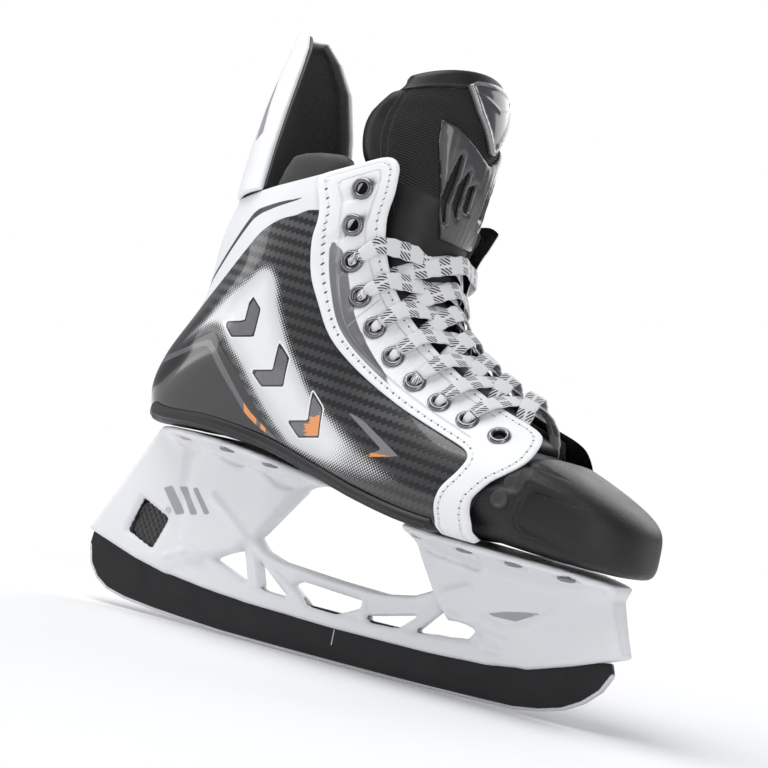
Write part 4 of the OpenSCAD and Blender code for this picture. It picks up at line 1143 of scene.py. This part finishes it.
def collar_rim_z(x):
    """Height of the collar's rim at a place along x, from the last boot station."""
    k = STATIONS[-1]
    t = np.clip((k[0] - x) / (k[0] - k[2]), 0, 1)
    return k[1] + (k[3] - k[1]) * t + 4 * k[4] * t * (1 - t)


def guard_at(a, r, off=0.0):
    """Guard: half an oval in plan, a from side to side, r from the rim of the boot up."""
    a, r = np.broadcast_arrays(np.asarray(a, float), np.asarray(r, float))
    turn = np.pi / 2 * a
    plan = [np.interp(205, GUARD[:, 0], GUARD[:, k]) for k in (1, 2)]
    low = collar_rim_z(plan[1] + (plan[0] - plan[1]) * np.cos(turn)) + 0.6
    z = low + (GUARD_TOP - low) * r
    back_x, front_x, half = (np.interp(z, GUARD[:, 0], GUARD[:, k]) for k in (1, 2, 3))
    return np.stack([front_x + (back_x - off - front_x) * np.cos(turn),
                     (half + off) * np.sin(turn), z], -1)


a, r = grid(edge_steps(-1, 1, 90), edge_steps(0, 1, 100, 1.6))
plain = guard_at(a, r)
rim = to_rim(plain)
mesh = walled(guard_at(a, r, -1.0 * (1 - rounded(rim, 1.6, 0))),
              guard_at(a, r, -2.6 + 0.6 * (1 - rounded(rim, 1.2, 0))))
f = guard_finish = Finish("guard_white", (0.78, 0.8, 0.82), 0.4, Coat_Weight=0.15,
                          Coat_Roughness=0.3)
slot_line = f.drawn("accent")
tone = f.mix(f.noise(40, 5), (0.76, 0.775, 0.8), (0.84, 0.85, 0.865))
f.set("Base Color", f.mix(slot_line.rise(-0.15, 0.15), tone, (0.3, 0.3, 0.32)))
f.set("Roughness", 0.36 + f.noise(120, 3) * 0.12)
f.bump((slot_line.rise(0.3, -0.3), 0.4), (f.noise(900, 3), 0.03))
GUARD_SLOT = [[-76, 232], [-71, 236], [-76, 262], [-80, 270]]
make_piece("tendon_guard_moulded", *mesh, guard_finish, "guard", ("tendon_guard",), "guard",
           accent=inside(np.concatenate([plain.reshape(-1, 3)[:, [0, 2]],
                                         np.full((a.size, 2), 500.0)]), GUARD_SLOT, 1))
a, r = grid(edge_steps(-0.97, 0.97, 80), edge_steps(0.025, 0.985, 90, 1.6))
plain = guard_at(a, r, -2.9)
rim = to_rim(plain)
roll = 1.1 * np.exp(-((rim - 3.2) / 1.8) ** 2)
mesh = walled(plain, guard_at(a, r, -3.6 - 2.9 * rounded(rim, 3, 0.02) - roll))
f = guard_lining_finish = Finish("guard_lining_foam", (0.014, 0.014, 0.015), 0.7,
                                 Sheen_Weight=0.3)
mesh_cells = f.cells(950.0)
f.set("Base Color", f.mix(mesh_cells, (0.008, 0.008, 0.009), (0.03, 0.03, 0.031)))
f.bump((mesh_cells, 0.12), (f.noise(60, 3), 0.4))
lining = make_piece("guard_lining_pad", *mesh, guard_lining_finish, "guard",
                    ("guard_lining",), "guard_lining")

# ---- Blade holder --------------------------------------------------------
# One white moulding: two towers with boot flanges, joined by an open truss and a beam that
# grips the steel. Soft ridges run from the rear tower along the truss, the flanges are
# hollowed out round each fastener, and a window shows the lock trigger.
FLANGE_TOP = [[-108, 92.2, 9], [-95, 92.4, 22], [-75, 91.6, 24.5], [-55, 89.8, 26],
              [-35, 87.2, 27], [-14, 82, 9]]
FLANGE_FRONT_TOP = [[36, 70.5, 15], [50, 69.8, 27], [75, 68.2, 30], [100, 66.8, 29],
                    [120, 65.6, 25], [139, 63.3, 11]]
TRUSS = [[-96, 22], [-116, 26], [-146, 34.5], [-113, 84], [-24, 78], [-47, 50],
         [-40, 43.5], [-30, 40.5], [5, 38], [29, 37], [43, 39.5], [52, 44], [43, 62],
         [135, 62], [147, 34], [124, 26], [104, 20], [84, 17.2], [54, 16], [4, 16],
         [-46, 17.5], [-71, 19.2]]
TOWER_REAR = [[-96, 22], [-116, 26], [-146.5, 34.5], [-143, 40], [-112, 91.5], [-75, 90.8],
              [-22, 83.5], [-47, 50], [-58, 40], [-75, 34]]
TOWER_FRONT = [[62, 32], [78, 33], [84, 22], [104, 20], [124, 26], [147, 34], [137, 62.5],
               [100, 66], [40, 69.5], [43, 58], [52, 44]]
WINDOWS = [[[-69, 34], [-55, 44], [-48.5, 27]], [[-43.5, 37.5], [-39.5, 26], [-25.5, 25]],
           [[-22, 31], [-18, 33], [16, 30.8], [15, 27.5], [3, 22.8], [-11, 23.5]],
           [[20.5, 25], [23.5, 23], [38, 23.5], [46, 30.5]],
           [[47.5, 24], [59, 36.5], [75.5, 30.2], [73, 26.5]]]
BEAM = [[-150, 14], [150, 14], [150, 40], [124, 36], [84, 27], [74, 24.5], [46, 22.5],
        [4, 21.5], [-46, 23.5], [-71, 27], [-96, 31], [-150, 40]]
SLOT = [[148, 33], [128, 30], [128, 41.5], [114, 41.5], [114, 30], [84, 26.5], [54, 25.5],
        [4, 25.2], [-46, 25.6], [-76.5, 28], [-77.5, 43], [-94.5, 43], [-94.5, 31],
        [-118, 35], [-150, 38.5], [-150, 0], [150, 0]]
TRIGGER_WINDOW = [[-122, 38], [-116, 55], [-99, 48], [-106, 32]]
TRIGGER_CAVITY = [[-127, 60], [-92, 58], [-89.5, 46], [-98, 29.5], [-128.5, 31.5]]
FASTENERS = [[-62, 20], [-36, 20.5], [74, 23], [98, 23], [122, 20], [-91, 14.5], [47, 17]]
RIDGES = [(1.7, 3.4, [[-74, 63], [-63, 56], [-53, 48], [-41, 41], [-32, 39], [-6, 36],
                      [21, 35.5], [40, 37], [52, 41]]),
          (1.1, 2.6, [[-90, 40], [-78, 35], [-66, 30], [-55, 27], [-44, 25]]),
          (1.2, 2.4, [[-96, 30], [-83, 36], [-66, 29], [-49, 24], [-22, 21], [24, 20.5],
                      [60, 21], [90, 24]]),
          (1.3, 2.2, [[-52, 47], [-45, 36], [-41, 27]]), (1.3, 2.2, [[-37, 36], [-15, 24]]),
          (1.3, 2.2, [[17, 35], [19, 23]]),
          (1.5, 2.8, [[38, 22], [51, 35], [60, 44], [70, 48]]),
          (0.9, 2.0, [[62, 36], [79, 30], [92, 29]]),
          (0.7, 2.2, [[80, 37], [89, 34], [101, 37], [113, 46]])]
PADS = [[[-104, 100], [-100, 86], [-96, 84], [-90, 81], [-83, 84], [-74, 82], [-69, 80.5],
         [-62, 79], [-56, 80.5], [-49, 79], [-43, 76], [-36, 73.5], [-26, 77], [-15, 100]],
        [[40, 80], [45, 62], [50, 59], [56, 58], [66, 57], [74, 56], [80, 59.5], [89, 59],
         [98, 57.5], [106, 60], [115, 58], [122, 57], [128, 59.5], [136, 59], [140, 80]]]
STEP_MM = 1.12


def joined(a, b, soft):
    """Smooth minimum of two distance fields, blended over a length."""
    h = np.clip(0.5 + 0.5 * (b - a) / soft, 0, 1)
    return b * (1 - h) + a * h - soft * h * (1 - h)


def both(p, q, radius):
    """Field of what lies in two fields at once, with its edges rounded. Each is given with
    the radius added."""
    return (np.sqrt(np.maximum(p, 0) ** 2 + np.maximum(q, 0) ** 2)
            + np.minimum(np.maximum(p, q), 0) - radius)


def prism(flat, half, radius):
    """Outline field carried across the holder to a half width, with rounded edges."""
    return both(flat[:, None] + radius, np.abs(gy)[None, :, None] - half[:, None] + radius,
                radius)


gx = np.arange(-149.5, 150.5, STEP_MM)
gy = np.arange(-29, 30) * STEP_MM
gz = np.arange(13, 94.5, STEP_MM)
seen = np.stack(grid(gx, gz), -1).reshape(-1, 2)
level = seen[:, 1].reshape(len(gx), len(gz))


def outline_field(outline, round_by=0):
    return -inside(seen, outline, round_by).reshape(level.shape)


relief = 0
for height, width, line in RIDGES:
    away = np.min([near_line(seen, p, q)[0] for p, q in zip(line, line[1:])],
                  0).reshape(level.shape)
    relief = np.maximum(relief, height * smooth(1 - away / width))
window = outline_field(TRIGGER_WINDOW)
relief = relief - 1.3 * smooth(1 - np.abs(window - 0.4) / 2.2) * (window > -1)
for pad in PADS:
    relief = relief - 2.6 * smooth(0.3 - outline_field(pad, 4) / 1.6)
flare = [np.interp(level, [0, 22, 36, top], [4.5, 4.5, 6.3, 9]) for top in (92, 72)]
truss = np.max([outline_field(TRUSS)] + [-outline_field(k) for k in WINDOWS], 0)
field = prism(truss + 0.2, 3.3 + 0.9 * relief, 2.4)
field = joined(field, prism(np.maximum(outline_field(TRUSS), outline_field(BEAM)),
                            4.4 + 0.3 * relief, 1.2), 2)
for outline, wide in ((TOWER_REAR, flare[0]), (TOWER_FRONT, flare[1])):
    field = joined(field, prism(outline_field(outline), wide + relief, 2.0), 2.5)
deep = np.abs(gy)[None, :, None]
top_line = np.full(len(gx), 0.0)
for table, low_x, high_x in ((FLANGE_TOP, -108, -14), (FLANGE_FRONT_TOP, 36, 139)):
    k = along(table, steps(0, 5, 200))
    top, half = np.interp(gx, k[:, 0], k[:, 1] - 0.3), np.interp(gx, k[:, 0], k[:, 2])
    ends = np.maximum(low_x - gx, gx - high_x)
    top_line = np.where(ends < 6, top, top_line)
    under = 2.7 + 0.3 * np.maximum(half[:, None, None] - np.maximum(deep, 8), 0)
    rim = np.maximum(deep - half[:, None, None], ends[:, None, None]) + 1.1
    flat = np.maximum(gz[None, None] - top[:, None, None],
                      top[:, None, None] - under - gz[None, None]) + 1.1
    field = joined(field, both(rim, flat, 1.1), 5)
for x, y in FASTENERS:
    seat = np.interp(x, gx, top_line) - 3.2
    reach = np.sqrt((gx[:, None] - x) ** 2 + (np.abs(gy)[None] - y) ** 2)[..., None]
    bowl = np.maximum(reach - 5.2 - 0.4 * np.clip(seat - gz, 0, 7), gz - seat)
    field = -joined(-field, bowl, 0.7)
    field = np.maximum(field, 2.05 - reach)
field = np.maximum(field, -prism(outline_field(SLOT), level * 0 + 1.65, 0.05))
field = np.maximum(field, -prism(window, level * 0 + 40, 0.3))
field = np.maximum(field, -prism(outline_field(TRIGGER_CAVITY), level * 0 + 4.2, 0.2))
cap = np.where(top_line > 0, top_line, 200)
field = np.maximum(field, gz[None, None] - cap[:, None, None])


def surface_of(field, start, step):
    """Closed mesh of the zero level of a field: one point in each cell that it crosses, at
    the mean of the crossings of the cell's edges, and one quad for each crossed grid line."""
    solid = field < 0
    corners = np.array([[i, j, k] for i in (0, 1) for j in (0, 1) for k in (0, 1)])
    shape = np.array(field.shape) - 1
    count = sum(solid[i:i + shape[0], j:j + shape[1], k:k + shape[2]].astype(int)
                for i, j, k in corners)
    cells = np.argwhere((count > 0) & (count < 8))
    number = np.full(shape, -1)
    number[tuple(cells.T)] = np.arange(len(cells))
    values = np.stack([field[tuple((cells + c).T)] for c in corners], 1)
    total, hits = np.zeros((len(cells), 3)), np.zeros(len(cells))
    for a in range(8):
        for b in range(a + 1, 8):
            if np.abs(corners[a] - corners[b]).sum() == 1:
                crossed = (values[:, a] < 0) != (values[:, b] < 0)
                t = values[crossed, a] / (values[crossed, a] - values[crossed, b])
                total[crossed] += corners[a] + t[:, None] * (corners[b] - corners[a])
                hits[crossed] += 1
    points = start + step * (cells + total / hits[:, None])
    faces = []
    for axis in range(3):
        p, q = np.eye(3, dtype=int)[[(axis + 1) % 3, (axis + 2) % 3]]
        here = np.moveaxis(solid, axis, 0)
        crossed = np.moveaxis(here[:-1] != here[1:], 0, axis)
        at = np.argwhere(crossed)
        at = at[(at @ (p + q) > 0) & np.all(at >= p + q, 1) & np.all(at < shape, 1)]
        quads = np.stack([number[tuple((at - c).T)] for c in (0 * p, p, p + q, q)], 1)
        inward = solid[tuple(at.T)]
        faces.append(np.where(inward[:, None], quads, quads[:, ::-1]))
    return points, [np.concatenate(faces)]


points, faces = surface_of(field, np.array([gx[0], gy[0], gz[0]]), STEP_MM)
MARKS = [[[-104, 62], [-99, 64], [-89, 52], [-94, 50.5]],
         [[-95, 64], [-91, 65], [-81, 53], [-85, 52]],
         [[-87, 65], [-84, 65.5], [-74, 54.5], [-77, 53.5]],
         [[80, 38.5], [96, 38.5], [108, 44.5], [98, 43], [90, 41.5]]]
f = holder_finish = Finish("holder_white", (0.8, 0.815, 0.84), 0.36, Coat_Weight=0.12,
                           Coat_Roughness=0.25, Subsurface_Weight=0.05,
                           Subsurface_Scale=0.003)
mark = f.drawn("mark").rise(-0.2, 0.2)
flow = f.noise(22, 5)
f.set("Base Color", f.mix(mark, f.mix(flow, (0.76, 0.775, 0.8), (0.83, 0.845, 0.865)),
                          (0.36, 0.38, 0.41)))
f.set("Roughness", 0.32 + flow * 0.12 + mark * 0.1)
f.bump((f.noise(1300, 3), 0.03), (mark, 0.2))
mark = np.max([inside(points[:, [0, 2]], k) for k in MARKS], 0)
make_piece("blade_holder_moulding", points, faces, holder_finish, "boot", ("blade_holder",),
           "holder", mark=mark)

# ---- Rivets, screws, pin and spring --------------------------------------
# Steel fasteners through the flanges into the boot, and the trigger's pin and leaf spring.
f = rivet_finish = Finish("rivet_steel", (0.24, 0.24, 0.26), 0.35, Metallic=1.0)
f.set("Base Color", f.mix(f.noise(300, 3), (0.18, 0.18, 0.19), (0.32, 0.32, 0.34)))
f.set("Roughness", 0.28 + f.noise(700, 3) * 0.2)
f = screw_finish = Finish("screw_copper_plate", (0.55, 0.4, 0.32), 0.32, Metallic=1.0)
f.set("Base Color", f.mix(f.noise(300, 3), (0.48, 0.34, 0.27), (0.6, 0.46, 0.38)))
f.set("Roughness", 0.26 + f.noise(700, 3) * 0.2)
f = pin_finish = Finish("pin_steel", (0.6, 0.6, 0.62), 0.3, Metallic=1.0)
f.set("Base Color", f.mix(f.noise(300, 3), (0.52, 0.52, 0.54), (0.66, 0.66, 0.68)))
f.set("Roughness", 0.24 + f.noise(900, 3) * 0.2)
for name, finish in (("rivets_front", rivet_finish), ("rivets_rear", rivet_finish),
                     ("screws_front", screw_finish), ("screws_rear", screw_finish),
                     ("trigger_pin", pin_finish), ("trigger_spring", pin_finish)):
    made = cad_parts[name]
    made.data.materials.clear()
    made.data.materials.append(finish.material)


# ---- Lock trigger --------------------------------------------------------
# A black moulded lever behind the window, knurled with diamonds on its thumb face.
def slab(outline, slots, pitch, half, round_by, relief):
    """Flat plate across the skate from an outline of x and z, its edges rounded. Gives the
    points and the faces."""
    flat = resample(np.array(outline, float), pitch)
    slots = [resample(np.array(k, float), pitch / 2) for k in slots]
    gap_to = gap_from(slots)
    cut, tris, border, edge = filled(flat, slots, gap_to, pitch, (round_by * 0.3, round_by),
                                     round_by * 1.5 + 0.3)
    edge = np.minimum(edge, gap_to(cut))
    y = (half - round_by) + round_by * rounded(edge, round_by, 0) + relief(cut, edge)
    points = np.concatenate([np.stack([cut[:, 0], side * y, cut[:, 1]], 1)
                             for side in (-1, 1)])
    return points, plate_faces(tris, border, len(cut))


def knurl(cut, edge):
    """Diamond studs on a 3.2 mm lattice."""
    p, q = (cut @ np.array([[0.8, 0.8], [0.6, -0.6]])).T / 2.6
    stud = np.abs(np.mod(p, 1) - 0.5) + np.abs(np.mod(q, 1) - 0.5)
    return 0.75 * smooth((1 - stud * 1.3) / 0.5) * smooth((edge - 1.2) / 0.6) - 0.5


TRIGGER = [[-121, 38], [-120, 52], [-112, 56.5], [-96.5, 56.5], [-94.5, 50], [-101, 41],
           [-103.5, 33.5], [-108, 31.5], [-118, 33]]
turn = circle(24)
PIN_HOLE = np.stack([-99 + 1.55 * np.cos(turn), 52 + 1.55 * np.sin(turn)], 1)
points, faces = slab(TRIGGER, [PIN_HOLE], 0.6, 3.8, 0.5, knurl)
f = trigger_finish = Finish("trigger_plastic", (0.02, 0.02, 0.021), 0.38, Coat_Weight=0.3,
                            Coat_Roughness=0.2)
f.set("Base Color", f.mix(f.noise(200, 3), (0.014, 0.014, 0.015), (0.03, 0.03, 0.031)))
f.set("Roughness", 0.3 + f.noise(500, 3) * 0.15)
f.bump((f.noise(1500, 2), 0.02))
make_piece("lock_trigger_knurled", points, faces, trigger_finish, "trigger",
           ("lock_trigger",), "trigger")

# ---- Runner --------------------------------------------------------------
# A replaceable stainless steel blade with a dark coating; its glide edge is ground bright
# along a long rocker, and it is bolted into the holder's slot by the trigger.
HEEL_RISE, GLIDE_FLAT, ROCKER_R = 0.03, 14, 2900
x_low = np.concatenate([np.arange(-100, -19, 10), [-GLIDE_FLAT, GLIDE_FLAT],
                        np.arange(20, 101, 10)])
z_low = np.maximum(np.abs(x_low) - GLIDE_FLAT, 0) ** 2 / (2 * ROCKER_R)
z_low = z_low + np.maximum(0, -x_low - 60) * HEEL_RISE
GLIDE = np.concatenate([[[-147, 26], [-144.5, 17.5], [-139, 11], [-131, 6.6], [-119, 4.2]],
                        np.stack([x_low, z_low], 1),
                        [[112, 3], [123, 6], [132, 11], [139, 17.5], [143, 25]]])
RUNNER_HIDDEN = [[141, 30.5], [126.5, 27.5], [126.5, 38.5], [116, 38.5], [115, 27],
                 [84, 24.5], [54, 23.5], [4, 23.2], [-46, 23.8], [-79.5, 26.8],
                 [-79.5, 40.5], [-91, 40.5], [-91, 37], [-86, 36], [-86, 28.5],
                 [-118, 32.5], [-146, 35]]
points, faces = slab(np.concatenate([GLIDE, RUNNER_HIDDEN]), [], 1.5, 1.5, 0.3,
                     lambda cut, edge: 0)
seen = points[:, [0, 2]]
ground = np.min([near_line(seen, p, q)[0] for p, q in zip(GLIDE, GLIDE[1:])], 0)
f = runner_finish = Finish("runner_coated_steel", (0.03, 0.03, 0.032), 0.36, Metallic=0.7)
bright = f.drawn("ground").rise(1.5, 1.1)
x, y, z = f.xyz()
ticks = (x - 4).math("ABSOLUTE").rise(0.3, 0.15) * z.rise(8, 8.4) * z.rise(15.5, 15)
brushed = f.node("TexNoise", named={"Vector": f.place(), "Scale": 60.0, "Detail": 6.0})
f.set("Base Color", f.mix((bright + ticks).math("MINIMUM", 1.0),
                          f.mix(brushed, (0.018, 0.018, 0.019), (0.034, 0.034, 0.036)),
                          (0.62, 0.62, 0.64)))
f.set("Roughness", 0.34 + brushed * 0.12 - bright * 0.16)
f.bump((1 - ticks, 0.05), (f.noise(800, 3), 0.02))
make_piece("runner_blade", points, faces, runner_finish, "runner", ("runner",),
           "runner_steel", ground=ground)

# ---- Floor ---------------------------------------------------------------
# A plain pale studio table, which isn't part of the skate. Far from the skate it glows as
# white as the studio wall, so that no horizon shows.
floor = bpy.data.meshes.new("floor")
floor.from_pydata([(-9, -9, -0.0004), (9, -9, -0.0004), (9, 9, -0.0004), (-9, 9, -0.0004)],
                  [], [(0, 1, 2, 3)])
f = Finish("floor_white", (0.9, 0.9, 0.9), 0.9, Emission_Strength=1.0)
x, y, z = f.xyz()
far = (x * x + y * y).math("SQRT").rise(260, 900)
f.set("Base Color", f.mix(far, (0.88, 0.88, 0.89), (0.1, 0.1, 0.1)))
f.set("Emission Color", f.mix(far, (0, 0, 0), (1, 1, 1)))
floor.materials.append(f.material)
table = bpy.data.objects.new("floor", floor)
bpy.context.scene.collection.objects.link(table)
